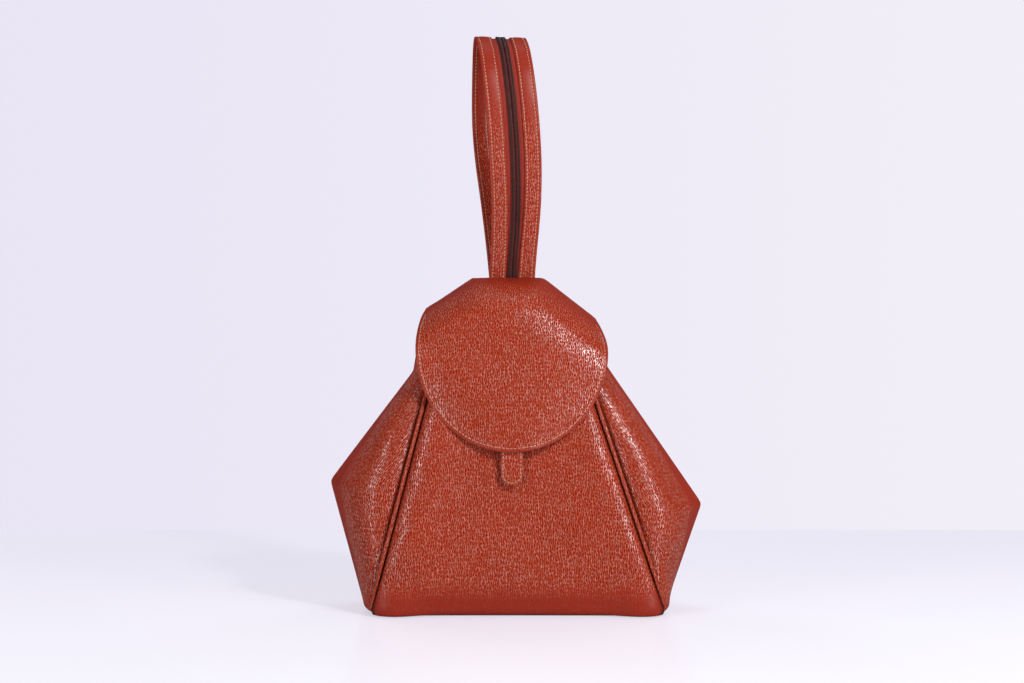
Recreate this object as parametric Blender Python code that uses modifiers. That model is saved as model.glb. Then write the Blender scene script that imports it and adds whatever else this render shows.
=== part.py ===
"""A leather sling backpack: a soft flat-based bag with folded side wings, a flap with a snap tab,
and one wide strap that a zip joins from two halves.

Units are metres with +Z up. The bag faces -Y, and the origin is on the middle of its base."""

import math

import bmesh
import bpy
import numpy as np
from mathutils import Matrix, Vector

MM = 0.001

# Leather and clearances
leather = 1.8 * MM
lining_cloth = 0.9 * MM
clearance = 0.3 * MM

# The bag's walls
base_half_width = 145.0 * MM
mouth_half_width = 61.6 * MM
front_height = 284.0 * MM
front_reach = 66.0 * MM
front_crown = 4.0 * MM
lean_at_base = 6.0 * MM
lean_at_mouth = -4.5 * MM
back_height = 330.0 * MM
back_reach = 65.0 * MM
back_top_reach = 26.8 * MM
back_base_half_width = 141.0 * MM
top_flat_left = 37.0 * MM
top_flat_right = 32.0 * MM
shoulder_left = (88.0 * MM, 299.0 * MM)
shoulder_right = (85.0 * MM, 289.0 * MM)
rim_below_shoulder = 12.0 * MM
wing_tip_left = (180.0 * MM, 127.0 * MM)
wing_tip_right = (188.0 * MM, 104.0 * MM)
wing_foot_left = 147.0 * MM
wing_foot_right = 153.0 * MM
wing_bend = (95.0 * MM, 241.0 * MM)
wing_rim_spread = 2.0 * MM
ridge_bulge = 15.0 * MM
back_bulge = 5.0 * MM
corner_puff = 12.0 * MM
corner_droop = 4.5 * MM
corner_puff_height = 42.0 * MM
roll_radius = 6.0 * MM
front_roll_radius = 13.0 * MM
flange = 8.0 * MM
piping_radius = 2.0 * MM

# The base
base_leather = 2.4 * MM
base_inset = 9.5 * MM
board_thickness = 2.2 * MM
board_inset = 17.0 * MM

# The lining and the facing round the mouth
lining_inset = 6.0 * MM
lining_foot_inset = 11.0 * MM
facing_depth = 26.0 * MM
facing_leather = 1.2 * MM
facing_inset = 2.8 * MM

# The flap, its lining and the closing tab
flap_leather = 1.7 * MM
flap_lining_leather = 1.0 * MM
flap_layer_gap = 0.6 * MM
flap_half_width = 94.5 * MM
flap_widest_height = 262.0 * MM
flap_tip_height = 159.0 * MM
flap_upper_axis = 98.0 * MM
flap_edge_reach = 19.6 * MM
flap_roll_height = 30.0 * MM
flap_edge_blend = 12.0 * MM
flap_side_fall = 6.0 * MM
flap_front_reach_top = 50.0 * MM
flap_front_reach_tip = 72.0 * MM
tab_half_width = 11.0 * MM
tab_top_height = 187.0 * MM
tab_tip_height = 127.0 * MM
tab_round = 9.0 * MM
tab_leather = 1.5 * MM
tab_lining_leather = 1.0 * MM
tab_layer_gap = 0.4 * MM
tab_end_half_width = 3.5 * MM

# The magnetic snap
snap_height = 139.0 * MM
snap_radius = 9.0 * MM
snap_socket_depth = 2.4 * MM
snap_stud_depth = 1.6 * MM
snap_boss_radius = 2.0 * MM
snap_boss_length = 1.4 * MM
snap_boss_play = 0.9 * MM
snap_washer_radius = 8.0 * MM
snap_washer_thickness = 0.8 * MM
snap_chamfer = 0.4 * MM

# The strap and its zip
band_width = 17.0 * MM
band_gap_at_bag = 6.2 * MM
band_gap_in_loop = 9.2 * MM
band_face_leather = 1.7 * MM
band_back_leather = 1.5 * MM
tape_thickness = 0.6 * MM
tape_overlap = 5.0 * MM
tape_gap = 0.3 * MM
tape_middle_gap = 1.2 * MM
loop_height = 242.0 * MM
loop_half_depth = 41.0 * MM
strap_seam_depth = 15.0 * MM
strap_rest_gap = 0.6 * MM
strap_spacing = 11.0 * MM
zip_end_height = 164.0 * MM
zip_start_in_seam = 3.0 * MM
strap_foot_half_width = 112.0 * MM
strap_foot_height = 24.0 * MM
strap_spread_share = 0.15
strap_twist = math.radians(9)
tooth_pitch = 4.8 * MM
tooth_reach = 0.8 * MM
tooth_root = 1.4 * MM
coil_half_width = 4.3 * MM
coil_height = 1.6 * MM
stop_length = 3.0 * MM

# The slider and its pull
slider_length = 11.0 * MM
slider_plate = 1.1 * MM
slider_flange = 0.8 * MM
slider_play = 0.4 * MM
slider_taper = 0.9 * MM
slider_post_width = 1.3 * MM
slider_post_length = 2.6 * MM
bridge_half_span = 3.4 * MM
bridge_wire = 0.7 * MM
pull_half_width = 3.5 * MM
pull_end_half_width = 2.6 * MM
pull_length = 27.0 * MM
pull_thickness = 1.2 * MM
pull_eye_half_width = 1.9 * MM
pull_eye_length = 6.4 * MM
pull_play = 0.3 * MM

# Shapes drawn by hand, as shares of the sizes above
ridge_lean = 0.76
front_profile_shares = [(0, 0.94), (0.07, 1), (0.352, 0.94), (0.704, 0.727), (1, 0.52)]
front_column_shares = [0, 0.04, 0.12, 0.22, 0.36, 0.5, 0.64, 0.78, 0.88, 0.96, 1]
front_row_shares = [0, 0.045, 0.1, 0.18, 0.27, 0.36, 0.45, 0.55, 0.65, 0.76, 0.88, 1]
wing_column_shares = [0, 0.12, 0.26, 0.4, 0.56, 0.76, 1, 1.28, 1.6, 2]
wing_fullness_shares = [(0, 0.1), (0.12, 0.3), (0.35, 0.95), (0.6, 1), (0.8, 0.6), (1, 0.2), (1.1, 0.2)]
wing_row_shares = [0, 0.28, 0.6, 0.85, 1, 1.15, 1.4, 1.7, 2, 2.5, 3]
back_column_shares = [0, 0.25, 0.5, 0.75, 1]
back_row_shares = [0, 0.2, 0.5, 0.8, 0.97, 1]
roll_angles = [math.radians(angle) for angle in (0, 25, 50, 72, 90)]
loop_shares = [
    (0, 0),
    (0.09, 0.088),
    (0.207, 0.278),
    (0.37, 0.607),
    (0.54, 0.824),
    (0.73, 0.985),
    (0.87, 0.85),
    (0.955, 0.53),
    (1, 0),
]
loop_lean_shares = [
    (0, 0),
    (0.15, 0.1),
    (0.33, -0.01),
    (0.42, -0.15),
    (0.5, -0.3),
    (0.6, -0.37),
    (0.68, -0.375),
    (0.85, -0.165),
    (1, 0),
]
corner_puff_share = 0.84
corner_puff_spread = 0.13
ring_front_shares = [0.02, 0.25, 0.5, 0.75, 0.98]
ring_side_shares = [0.2, 0.45, 0.7, 1, 1.4, 1.8]
ring_back_shares = [0.97, 0.5, 0.03]
lining_row_shares = [0, 0.05, 0.16, 0.3, 0.42, 0.6, 0.8]
ridge_sharpness = 4
flap_bend_shares = [0.33, 0.66, 1]
flap_shoulder_shares = [0.33, 0.66]
flap_top_shares = [-1, -0.5, 0, 0.5, 1]
flap_edge_steps = 22
flap_edge_fullness = 0.95
flap_middle_share = 0.25
strap_back_shares = [0.1, 0.35, 0.7, 1]
strap_opening_share = 0.25
bridge_shares = [(-1, 0), (-1, 0.5), (-0.7, 0.9), (0, 1), (0.7, 0.9), (1, 0.5), (1, 0)]
flap_ring_shares = [0, 0.004, 0.014, 0.035, 0.075, 0.13, 0.2, 0.32, 0.5, 0.72]

# Materials, as red, green and blue with roughness and metallic
tan = ((0.42, 0.09, 0.045), 0.45, 0.0)
dark_tan = ((0.3, 0.06, 0.03), 0.5, 0.0)
suede = ((0.33, 0.1, 0.055), 0.85, 0.0)
cloth = ((0.14, 0.07, 0.05), 0.9, 0.0)
board = ((0.3, 0.22, 0.15), 0.9, 0.0)
red_tape = ((0.27, 0.05, 0.04), 0.8, 0.0)
black_coil = ((0.02, 0.02, 0.022), 0.4, 0.0)
steel = ((0.6, 0.58, 0.55), 0.3, 1.0)
dark_metal = ((0.12, 0.11, 0.1), 0.35, 1.0)

for old in list(bpy.data.objects):
    bpy.data.objects.remove(old)

bag_collection = bpy.data.collections.new("sling_backpack")
cutter_collection = bpy.data.collections.new("cutters")
bpy.context.scene.collection.children.link(bag_collection)
bpy.context.scene.collection.children.link(cutter_collection)


def material(name, look):
    """A plain Principled material for one piece."""
    colour, roughness, metallic = look
    made = bpy.data.materials.new(name)
    made.use_nodes = True
    shader = made.node_tree.nodes["Principled BSDF"]
    shader.inputs["Base Color"].default_value = (*colour, 1)
    shader.inputs["Roughness"].default_value = roughness
    shader.inputs["Metallic"].default_value = metallic
    return made


def place(name, mesh, look, parent=None, smooth=True):
    """Puts a mesh given in world coordinates into the bag, under its parent if it has one."""
    piece = bpy.data.objects.new(name, mesh)
    bag_collection.objects.link(piece)
    mesh.materials.append(material(name, look))
    if smooth:
        mesh.shade_smooth()
        mesh.set_sharp_from_angle(angle=math.radians(35))
    if parent is not None:
        mesh.transform(parent.matrix_world.inverted())
        piece.parent = parent
    return piece


def pivot(name, place_of_axis):
    """An empty on a joint's axis, which carries the pieces that move with it."""
    empty = bpy.data.objects.new(name, None)
    empty.location = place_of_axis
    bag_collection.objects.link(empty)
    bpy.context.view_layer.update()
    return empty


def sheet(name, rows, thickness, facing, look, parent=None, ring=False, floor=False):
    """A sheet through rows of points, thickened away from the way it faces.

    A ring joins each row's ends, and a floor closes the first row."""
    bm = bmesh.new()
    grid = [[bm.verts.new(point) for point in row] for row in rows]
    columns = len(rows[0])
    for low, high in zip(grid, grid[1:]):
        for column in range(columns if ring else columns - 1):
            nearest = (column + 1) % columns
            bm.faces.new((low[column], low[nearest], high[nearest], high[column]))
    if floor:
        bm.faces.new(list(reversed(grid[0])))
        bmesh.ops.recalc_face_normals(bm, faces=bm.faces)
    bm.normal_update()
    bm.faces.ensure_lookup_table()
    per_row = columns if ring else columns - 1
    middle_row = (len(rows) - 1) // 2
    tested = bm.faces[per_row * middle_row + (1 if ring else per_row // 2)]
    if tested.normal.dot(Vector(facing)) < 0:
        bmesh.ops.reverse_faces(bm, faces=bm.faces)
    mesh = bpy.data.meshes.new(name)
    bm.to_mesh(mesh)
    bm.free()
    piece = place(name, mesh, look, parent)
    solidify = piece.modifiers.new("Thickness", "SOLIDIFY")
    solidify.thickness = thickness
    solidify.offset = -1
    solidify.use_even_offset = True
    return piece


def plate(name, outline, thickness, low, look):
    """A flat piece with this outline, from the height low upward."""
    curve = bpy.data.curves.new(name, "CURVE")
    curve.dimensions = "2D"
    curve.fill_mode = "BOTH"
    curve.extrude = thickness / 2
    spline = curve.splines.new("POLY")
    spline.points.add(len(outline) - 1)
    for point, (x, y) in zip(spline.points, outline):
        point.co = (x, y, 0, 1)
    spline.use_cyclic_u = True
    piece = bpy.data.objects.new(name, curve)
    piece.location.z = low + thickness / 2
    curve.materials.append(material(name, look))
    bag_collection.objects.link(piece)
    return piece


def tube(name, points, radius, look):
    """A round cord with filled ends through these points."""
    curve = bpy.data.curves.new(name, "CURVE")
    curve.dimensions = "3D"
    curve.bevel_depth = radius
    curve.bevel_resolution = 1
    curve.use_fill_caps = True
    spline = curve.splines.new("POLY")
    spline.points.add(len(points) - 1)
    for point, position in zip(spline.points, points):
        point.co = (*position, 1)
    piece = bpy.data.objects.new(name, curve)
    curve.materials.append(material(name, look))
    bag_collection.objects.link(piece)
    return piece


def follow(table, where):
    """The value at a place on a smooth curve through the table's pairs."""
    places = [pair[0] for pair in table]
    values = [pair[1] for pair in table]
    slopes = np.gradient(values, places)
    last = len(places) - 2
    start = int(np.clip(np.searchsorted(places, where) - 1, 0, last))
    step = places[start + 1] - places[start]
    share = (where - places[start]) / step
    before, after = values[start], values[start + 1]
    curve = (2 * share**3 - 3 * share**2 + 1) * before
    curve += (share**3 - 2 * share**2 + share) * step * slopes[start]
    curve += (3 * share**2 - 2 * share**3) * after
    curve += (share**3 - share**2) * step * slopes[start + 1]
    return float(curve)


def mix(first, second, share):
    return first + (second - first) * share


def ease(share):
    share = min(1, max(0, share))
    return share * share * (3 - 2 * share)


# Where the walls run
flange_height = base_leather + clearance
seam_gap = piping_radius + clearance


def rim_back(side):
    """The height at which the mouth's rim meets the back panel."""
    shoulder = shoulder_left if side < 0 else shoulder_right
    return shoulder[1] - rim_below_shoulder


def front_seam(side, z):
    """The seam between the front panel and a gusset."""
    share = z / front_height
    half_width = mix(base_half_width, mouth_half_width, share)
    lean = mix(lean_at_base, lean_at_mouth, share)
    depth = front_reach * follow(front_profile_shares, share)
    return Vector((lean + side * half_width, -depth, z))


def back_plane(z):
    """How far back the back panel's outer face is."""
    return mix(back_reach, back_top_reach, z / back_height)


def back_half_width(side, z):
    shoulder = shoulder_left if side < 0 else shoulder_right
    flat = top_flat_left if side < 0 else top_flat_right
    if z <= shoulder[1]:
        return mix(back_base_half_width, shoulder[0], z / shoulder[1])
    return mix(shoulder[0], flat, (z - shoulder[1]) / (back_height - shoulder[1]))


def back_seam(side, z):
    """The seam between the back panel and a gusset."""
    return Vector((side * back_half_width(side, z), back_plane(z), z))


def wing_line(side, z):
    """The sharp fold that runs down the middle of a gusset."""
    foot = wing_foot_left if side < 0 else wing_foot_right
    tip = wing_tip_left if side < 0 else wing_tip_right
    top = rim_middle(side)
    heights = [0, tip[1], wing_bend[1], top.z]
    widths = [foot, tip[0], wing_bend[0], side * top.x]
    return Vector((side * float(np.interp(z, heights, widths)), 0, z))


def rim_middle(side):
    """Where the wing's fold ends, on the mouth's rim."""
    ahead = front_seam(side, front_height)
    behind = back_seam(side, rim_back(side))
    share = -ahead.y / (behind.y - ahead.y)
    point = ahead.lerp(behind, share)
    point.x += side * wing_rim_spread
    return point


def gusset_point(side, share, z):
    """A place on a gusset: share runs from 0 at the front seam by 1 on the fold to 2 at the back seam."""
    fold = wing_line(side, z)
    if share <= 1:
        seam = front_seam(side, z)
        along = share
        swell = ridge_bulge * math.sin(math.pi * along**ridge_lean)
    else:
        seam = back_seam(side, z)
        along = 2 - share
        swell = back_bulge * math.sin(math.pi * along)
    run = fold - seam
    run.z = 0
    reach = run.length
    run.normalize()
    away = Vector((side * abs(run.y), math.copysign(abs(run.x), seam.y), 0))
    swell *= min(1, reach / base_half_width * 2) * follow(wing_fullness_shares, z / front_height)
    start = seam + run * seam_gap
    return start.lerp(fold, along) + away * swell


def front_point(share, z):
    """A place on the front panel: share runs from 0 at the left seam to 1 at the right one."""
    left = front_seam(-1, z)
    right = front_seam(1, z)
    left.x += seam_gap
    right.x -= seam_gap
    point = left.lerp(right, share)
    across = abs(2 * share - 1)
    point.y -= front_crown * (1 - across**3) * min(1, z / corner_puff_height)
    lowness = max(0, 1 - z / corner_puff_height)
    point.y -= corner_puff * lowness * lowness * corner_weight(across)
    return point


def corner_weight(across):
    """1 beside the front corners of the base, falling to 0 at the seam and at the middle."""
    if across < corner_puff_share:
        return math.exp(-(((across - corner_puff_share) / corner_puff_spread) ** 2))
    return 1 - ((across - corner_puff_share) / (1 - corner_puff_share)) ** 2


def back_point(share, z):
    left = back_seam(-1, z)
    right = back_seam(1, z)
    left.x += seam_gap
    right.x -= seam_gap
    return left.lerp(right, share)


def turned_under(wall, radius, angle, further=0.0):
    """A place on the roll that carries a wall round under the bag, and along its flange."""
    inset = radius * (1 - math.cos(angle)) + further
    x = wall.x * (1 - inset / base_half_width)
    y = wall.y * (1 - inset / front_reach)
    return Vector((x, y, flange_height + radius * (1 - math.sin(angle))))


def wall_with_roll(point_at, shares, top_at, radius_at, row_shares, droop_at=None):
    """Rows of a wall, from its flange under the bag up to its top edge."""
    rows = []
    steps = [(roll_angles[-1], 2 * flange), (roll_angles[-1], flange)]
    steps += [(angle, 0.0) for angle in reversed(roll_angles[1:])]
    for angle, further in steps:
        row = []
        for share in shares:
            radius = radius_at(share)
            point = turned_under(point_at(share, flange_height + radius), radius, angle, further)
            if droop_at is not None and further == 0:
                point.z -= droop_at(share) * math.sin(2 * angle)
            row.append(point)
        rows.append(row)
    for row_share in row_shares:
        row = []
        for share in shares:
            foot = flange_height + radius_at(share)
            row.append(point_at(share, mix(foot, top_at(share), row_share)))
        rows.append(row)
    return rows


def front_radius(share):
    across = abs(2 * share - 1)
    return mix(front_roll_radius, roll_radius, across**4)


# The front panel: one tapering piece of leather, turned under at the base
front_rows = wall_with_roll(
    front_point,
    front_column_shares,
    lambda share: front_height,
    front_radius,
    front_row_shares,
    lambda share: corner_droop * corner_weight(abs(2 * share - 1)),
)
sheet("front_panel", front_rows, leather, (0, -1, 0), tan)


# The back panel: a flat hexagon that carries the flap and the strap
def back_top(share):
    return mix(shoulder_left[1], shoulder_right[1], share)


back_rows = wall_with_roll(
    back_point, back_column_shares, back_top, lambda share: roll_radius, back_row_shares
)
back_rows.append([])
for share in back_column_shares:
    point = back_point(share, back_height)
    back_rows[-1].append(point)
sheet("back_panel", back_rows, leather, (0, 1, 0), tan)


# The gussets: the side walls, each folded outward to a sharp wing
def gusset_rows(side):
    tip = wing_tip_left if side < 0 else wing_tip_right
    foot = flange_height + roll_radius

    def top_at(share):
        return mix(front_height, rim_back(side), share / 2)

    rows = wall_with_roll(
        lambda share, z: gusset_point(side, share, z),
        wing_column_shares,
        top_at,
        lambda share: roll_radius,
        [],
    )
    for row_share in wing_row_shares:
        row = []
        for share in wing_column_shares:
            levels = [foot, tip[1], wing_bend[1], top_at(share)]
            z = float(np.interp(row_share, [0, 1, 2, 3], levels))
            row.append(gusset_point(side, share, z))
        rows.append(row)
    return rows


for side, word in ((-1, "left"), (1, "right")):
    sheet("gusset_" + word, gusset_rows(side), leather, (side, 0, 0), tan)


# The piping: a round bead in each of the four upright seams
def piping_points(seam_at, top):
    foot = flange_height + roll_radius
    points = [turned_under(seam_at(foot), roll_radius, angle) for angle in reversed(roll_angles[:2])]
    count = math.ceil((top - foot) / (2 * flange))
    points += [seam_at(mix(foot, top, step / count)) for step in range(1, count + 1)]
    return points


for side, word in ((-1, "left"), (1, "right")):
    points = piping_points(lambda z: front_seam(side, z), front_height)
    tube("piping_front_" + word, points, piping_radius, dark_tan)
    points = piping_points(lambda z: back_seam(side, z), rim_back(side))
    tube("piping_back_" + word, points, piping_radius, dark_tan)


# The ring of walls, for the pieces that follow them inside
def ring_at(share):
    """The walls' outer outline at a share of their height, as points in order round the bag."""
    foot = flange_height + roll_radius
    points = []
    for place_share in ring_front_shares:
        points.append(front_point(place_share, mix(foot, front_height, share)))
    for place_share in ring_side_shares:
        top = mix(front_height, rim_back(1), place_share / 2)
        points.append(gusset_point(1, place_share, mix(foot, top, share)))
    for place_share in ring_back_shares:
        top = mix(rim_back(-1), rim_back(1), place_share)
        points.append(back_point(place_share, mix(foot, top, share)))
    for place_share in reversed(ring_side_shares):
        top = mix(front_height, rim_back(-1), place_share / 2)
        points.append(gusset_point(-1, place_share, mix(foot, top, share)))
    return points


def inset_ring(points, distance):
    """The same ring drawn in by this distance."""
    drawn = []
    count = len(points)
    for index, point in enumerate(points):
        before = point - points[index - 1]
        after = points[(index + 1) % count] - point
        first = Vector((-before.y, before.x)).normalized()
        second = Vector((-after.y, after.x)).normalized()
        step = (first + second) * (distance / (1 + first.dot(second)))
        drawn.append(Vector((point.x + step.x, point.y + step.y, point.z)))
    return drawn


# The base: its leather sole, and the board that stiffens it inside
base_ring = ring_at(0)
sole_outline = [(point.x, point.y) for point in inset_ring(base_ring, base_inset)]
plate("base_panel", sole_outline, base_leather, 0, dark_tan)
board_low = flange_height + leather + clearance
board_outline = [(point.x, point.y) for point in inset_ring(base_ring, board_inset)]
plate("base_board", board_outline, board_thickness, board_low, board)

# The lining: a cloth bag that hangs from the facing
lining_low = board_low + board_thickness + clearance
facing_foot_share = 1 - facing_depth / front_height
lining_top_share = facing_foot_share - clearance / front_height
lining_rows = []
for step, share in enumerate([*lining_row_shares, lining_top_share]):
    distance = lining_foot_inset if step == 0 else lining_inset
    row = inset_ring(ring_at(share), distance)
    if step == 0:
        for point in row:
            point.z = lining_low
    lining_rows.append(row)
sheet("lining", lining_rows, lining_cloth, (0, -1, 0), cloth, ring=True, floor=True)

# The facing: a leather band round the inside of the mouth
facing_rows = [
    inset_ring(ring_at(share), facing_inset)
    for share in (facing_foot_share, mix(facing_foot_share, 1, 0.5), 1)
]
sheet("mouth_facing", facing_rows, facing_leather, (0, -1, 0), tan, ring=True)

strap_half_width_at_bag = band_gap_at_bag + band_width + clearance


# The flap's outline in front view, from the left shoulder over the top and round its free edge
def flap_outline():
    points = [(-shoulder_left[0], shoulder_left[1])]
    for share in flap_bend_shares:
        x = mix(-shoulder_left[0], -top_flat_left, share)
        points.append((x, mix(shoulder_left[1], back_height, share)))
    for share in flap_top_shares:
        points.append((share * strap_half_width_at_bag, back_height))
    points.append((top_flat_right, back_height))
    for share in flap_bend_shares:
        x = mix(top_flat_right, shoulder_right[0], share)
        points.append((x, mix(back_height, shoulder_right[1], share)))
    rise = (shoulder_right[1] - flap_widest_height) / flap_upper_axis
    first = math.asin(rise)
    for share in flap_shoulder_shares:
        angle = mix(first, 0, share)
        points.append(flap_edge(angle, flap_upper_axis, 1, shoulder_right, first))
    for step in range(flap_edge_steps + 1):
        angle = -math.pi * step / flap_edge_steps
        drop = (flap_widest_height - flap_tip_height) * abs(math.sin(angle)) ** flap_edge_fullness
        points.append((flap_half_width * math.cos(angle), flap_widest_height - drop))
    rise = (shoulder_left[1] - flap_widest_height) / flap_upper_axis
    first = math.asin(rise)
    for share in reversed(flap_shoulder_shares):
        angle = mix(first, 0, share)
        points.append(flap_edge(angle, flap_upper_axis, -1, shoulder_left, first))
    return points


def flap_edge(angle, axis, side, shoulder, first):
    """A place on the free edge between its widest place and a shoulder."""
    fit = (shoulder[0] / flap_half_width) / math.cos(first)
    narrow = mix(1, fit, angle / first)
    return (side * flap_half_width * math.cos(angle) * narrow, flap_widest_height + axis * math.sin(angle))


def flap_sewn_distance(x, z):
    """How far inside the flap's sewn edges a place is, in front view, with soft ridges between them."""
    distances = [back_height - z]
    for side, flat, shoulder in (
        (-1, top_flat_left, shoulder_left),
        (1, top_flat_right, shoulder_right),
    ):
        run = Vector((shoulder[0] - flat, shoulder[1] - back_height)).normalized()
        to_place = Vector((side * x - flat, z - back_height))
        distances.append(to_place.x * run.y - to_place.y * run.x)
    if min(distances) <= 0:
        return 0
    return sum(distance**-ridge_sharpness for distance in distances) ** (-1 / ridge_sharpness)


def flap_depth(x, z):
    """The flap's outer face: it rolls forward from its sewn edge and then hangs down in front."""
    tip_share = (front_height - z) / (front_height - flap_tip_height)
    ahead = mix(flap_front_reach_top, flap_front_reach_tip, tip_share)
    ahead -= flap_side_fall * (x / flap_half_width) ** 2
    rolled = min(1, flap_sewn_distance(x, z) / flap_roll_height)
    beside_strap = ease((abs(x) - strap_half_width_at_bag) / flap_edge_blend)
    edge = mix(flap_edge_reach, back_plane(z) - leather - clearance, beside_strap)
    return mix(edge, -ahead, math.sqrt(1 - (1 - rolled) ** 2))


def flap_rows():
    """Rings of points on the flap's outer face, from its edge inward."""
    outline = flap_outline()
    middle = (0, flap_middle_height)
    rows = []
    for ring_share in flap_ring_shares:
        row = []
        for x, z in outline:
            inner_x = mix(x, middle[0], ring_share)
            inner_z = mix(z, middle[1], ring_share)
            row.append(Vector((inner_x, flap_depth(inner_x, inner_z), inner_z)))
        rows.append(row)
    return rows


flap_middle_height = mix(flap_widest_height, flap_tip_height, flap_middle_share)
flap_axis = Vector((0, flap_edge_reach, back_height))
flap_pivot = pivot("flap_pivot", flap_axis)


def flap_layer(name, low, high, look):
    """One layer of the flap, between two depths below its outer face."""
    rows = flap_rows()
    bm = bmesh.new()
    grid = [[bm.verts.new(point) for point in row] for row in rows]
    centre = bm.verts.new((0, flap_depth(0, flap_middle_height), flap_middle_height))
    count = len(rows[0])
    for outer, inner in zip(grid, grid[1:]):
        for column in range(count):
            nearest = (column + 1) % count
            bm.faces.new((outer[column], outer[nearest], inner[nearest], inner[column]))
    for column in range(count):
        bm.faces.new((grid[-1][column], grid[-1][(column + 1) % count], centre))
    bm.normal_update()
    bm.faces.ensure_lookup_table()
    if bm.faces[-1].normal.y > 0:
        bmesh.ops.reverse_faces(bm, faces=bm.faces)
    bm.normal_update()
    for vertex in bm.verts:
        vertex.co -= vertex.normal * low
    mesh = bpy.data.meshes.new(name)
    bm.to_mesh(mesh)
    bm.free()
    piece = place(name, mesh, look, flap_pivot)
    solidify = piece.modifiers.new("Thickness", "SOLIDIFY")
    solidify.thickness = high - low
    solidify.offset = -1
    return piece


flap_layer("flap_outer", 0, flap_leather, tan)
flap_inner_face = flap_leather + flap_layer_gap + flap_lining_leather
flap_layer("flap_lining", flap_leather + flap_layer_gap, flap_inner_face, suede)

# The closing tab: two layers sewn together and to the underside of the flap
snap_face = front_point(0.5, snap_height)
above_snap = front_point(0.5, snap_height + snap_radius)
below_snap = front_point(0.5, snap_height - snap_radius)
snap_climb = Vector((0, above_snap.y - below_snap.y, 2 * snap_radius)).normalized()
snap_out = Vector((0, -snap_climb.z, snap_climb.y))
snap_centre = Vector((0, snap_face.y, snap_height))
stud_base = snap_centre + snap_out * (snap_socket_depth + snap_stud_depth + 2 * clearance)
tab_thickness = tab_leather + tab_layer_gap + tab_lining_leather
tab_row_shares = [0, 0.04, 0.1, 0.16, 0.28, 0.42, 0.56, 0.7, 0.85, 1]


def tab_depth(z):
    """The tab's outer face: against the flap's lining above, then down to the snap."""
    under_flap = flap_depth(0, z) + flap_inner_face + clearance
    snap_share = ease((flap_tip_height - z) / (flap_tip_height - snap_height - snap_radius))
    along_snap = (z - stud_base.z) * snap_climb.y / snap_climb.z
    over_snap = stud_base.y + along_snap - (tab_thickness + clearance) / snap_climb.z
    return mix(under_flap, over_snap, snap_share)


def tab_rows(setback):
    rows = []
    for share in tab_row_shares:
        z = mix(tab_tip_height, tab_top_height, share)
        rounding = max(0, 1 - (z - tab_tip_height) / tab_round)
        half_width = mix(tab_end_half_width, tab_half_width, math.sqrt(1 - rounding**2))
        row = [Vector((x_share * half_width, tab_depth(z) + setback, z)) for x_share in (-1, 0, 1)]
        rows.append(row)
    return rows


sheet("tab_outer", tab_rows(0), tab_leather, (0, -1, 0), tan, flap_pivot)
lining_setback = tab_leather + tab_layer_gap
sheet("tab_lining", tab_rows(lining_setback), tab_lining_leather, (0, -1, 0), tan, flap_pivot)


def turned(name, profile, base, direction, look, parent=None, steps=20):
    """A round piece: a profile of radius and height, turned about a line from base."""
    mesh = bpy.data.meshes.new(name)
    points = [(radius, 0, height) for radius, height in profile]
    mesh.from_pydata(points, [(index, index + 1) for index in range(len(points) - 1)], [])
    mesh.materials.append(material(name, look))
    piece = bpy.data.objects.new(name, mesh)
    bag_collection.objects.link(piece)
    screw = piece.modifiers.new("Turn", "SCREW")
    screw.steps = steps
    screw.render_steps = steps
    screw.use_merge_vertices = True
    screw.merge_threshold = 0.00001
    turn = direction.to_track_quat("Z", "Y")
    piece.matrix_world = Matrix.Translation(base) @ turn.to_matrix().to_4x4()
    if parent is not None:
        piece.parent = parent
        piece.matrix_parent_inverse = parent.matrix_world.inverted()
    return piece


# The magnetic snap: a socket on the front panel and a stud on the tab
boss_hole = snap_boss_radius + snap_boss_play
socket_floor = snap_socket_depth - snap_boss_length - clearance
socket_profile = [
    (0, socket_floor),
    (boss_hole, socket_floor),
    (boss_hole, snap_socket_depth),
    (snap_radius - snap_chamfer, snap_socket_depth),
    (snap_radius, snap_socket_depth - snap_chamfer),
    (snap_radius, 0),
    (0, 0),
]
turned("snap_socket", socket_profile, snap_centre + snap_out * clearance, snap_out, dark_metal)
washer_profile = [(0, snap_washer_thickness), (snap_washer_radius, snap_washer_thickness)]
washer_profile += [(snap_washer_radius, 0), (0, 0)]
washer_base = snap_centre - snap_out * (leather + clearance)
turned("snap_socket_washer", washer_profile, washer_base, -snap_out, steel)
stud_profile = [
    (0, snap_stud_depth + snap_boss_length),
    (snap_boss_radius, snap_stud_depth + snap_boss_length),
    (snap_boss_radius, snap_stud_depth),
    (snap_radius - snap_chamfer, snap_stud_depth),
    (snap_radius, snap_stud_depth - snap_chamfer),
    (snap_radius, 0),
    (0, 0),
]
turned("snap_stud", stud_profile, stud_base, -snap_out, dark_metal, flap_pivot)

# The strap's layers, as heights above its middle surface
tape_face = tape_thickness / 2
band_face_low = tape_face + tape_gap
band_face_high = band_face_low + band_face_leather
band_back_high = tape_face + tape_gap
band_back_low = band_back_high + band_back_leather
seam_front_y = back_top_reach - leather - clearance - band_back_low
strap_lift = strap_rest_gap + band_back_low
seam_back_y = back_top_reach + strap_lift
loop_middle_y = (seam_front_y + seam_back_y) / 2
seam_half_depth = (seam_back_y - seam_front_y) / 2
back_slope = Vector((0, back_top_reach - back_reach, back_height)).normalized()
back_out = Vector((0, back_slope.z, -back_slope.y))


def strap_on_back(z):
    """The strap's middle surface where it lies on the back panel."""
    return back_plane(z) + strap_lift


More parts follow.
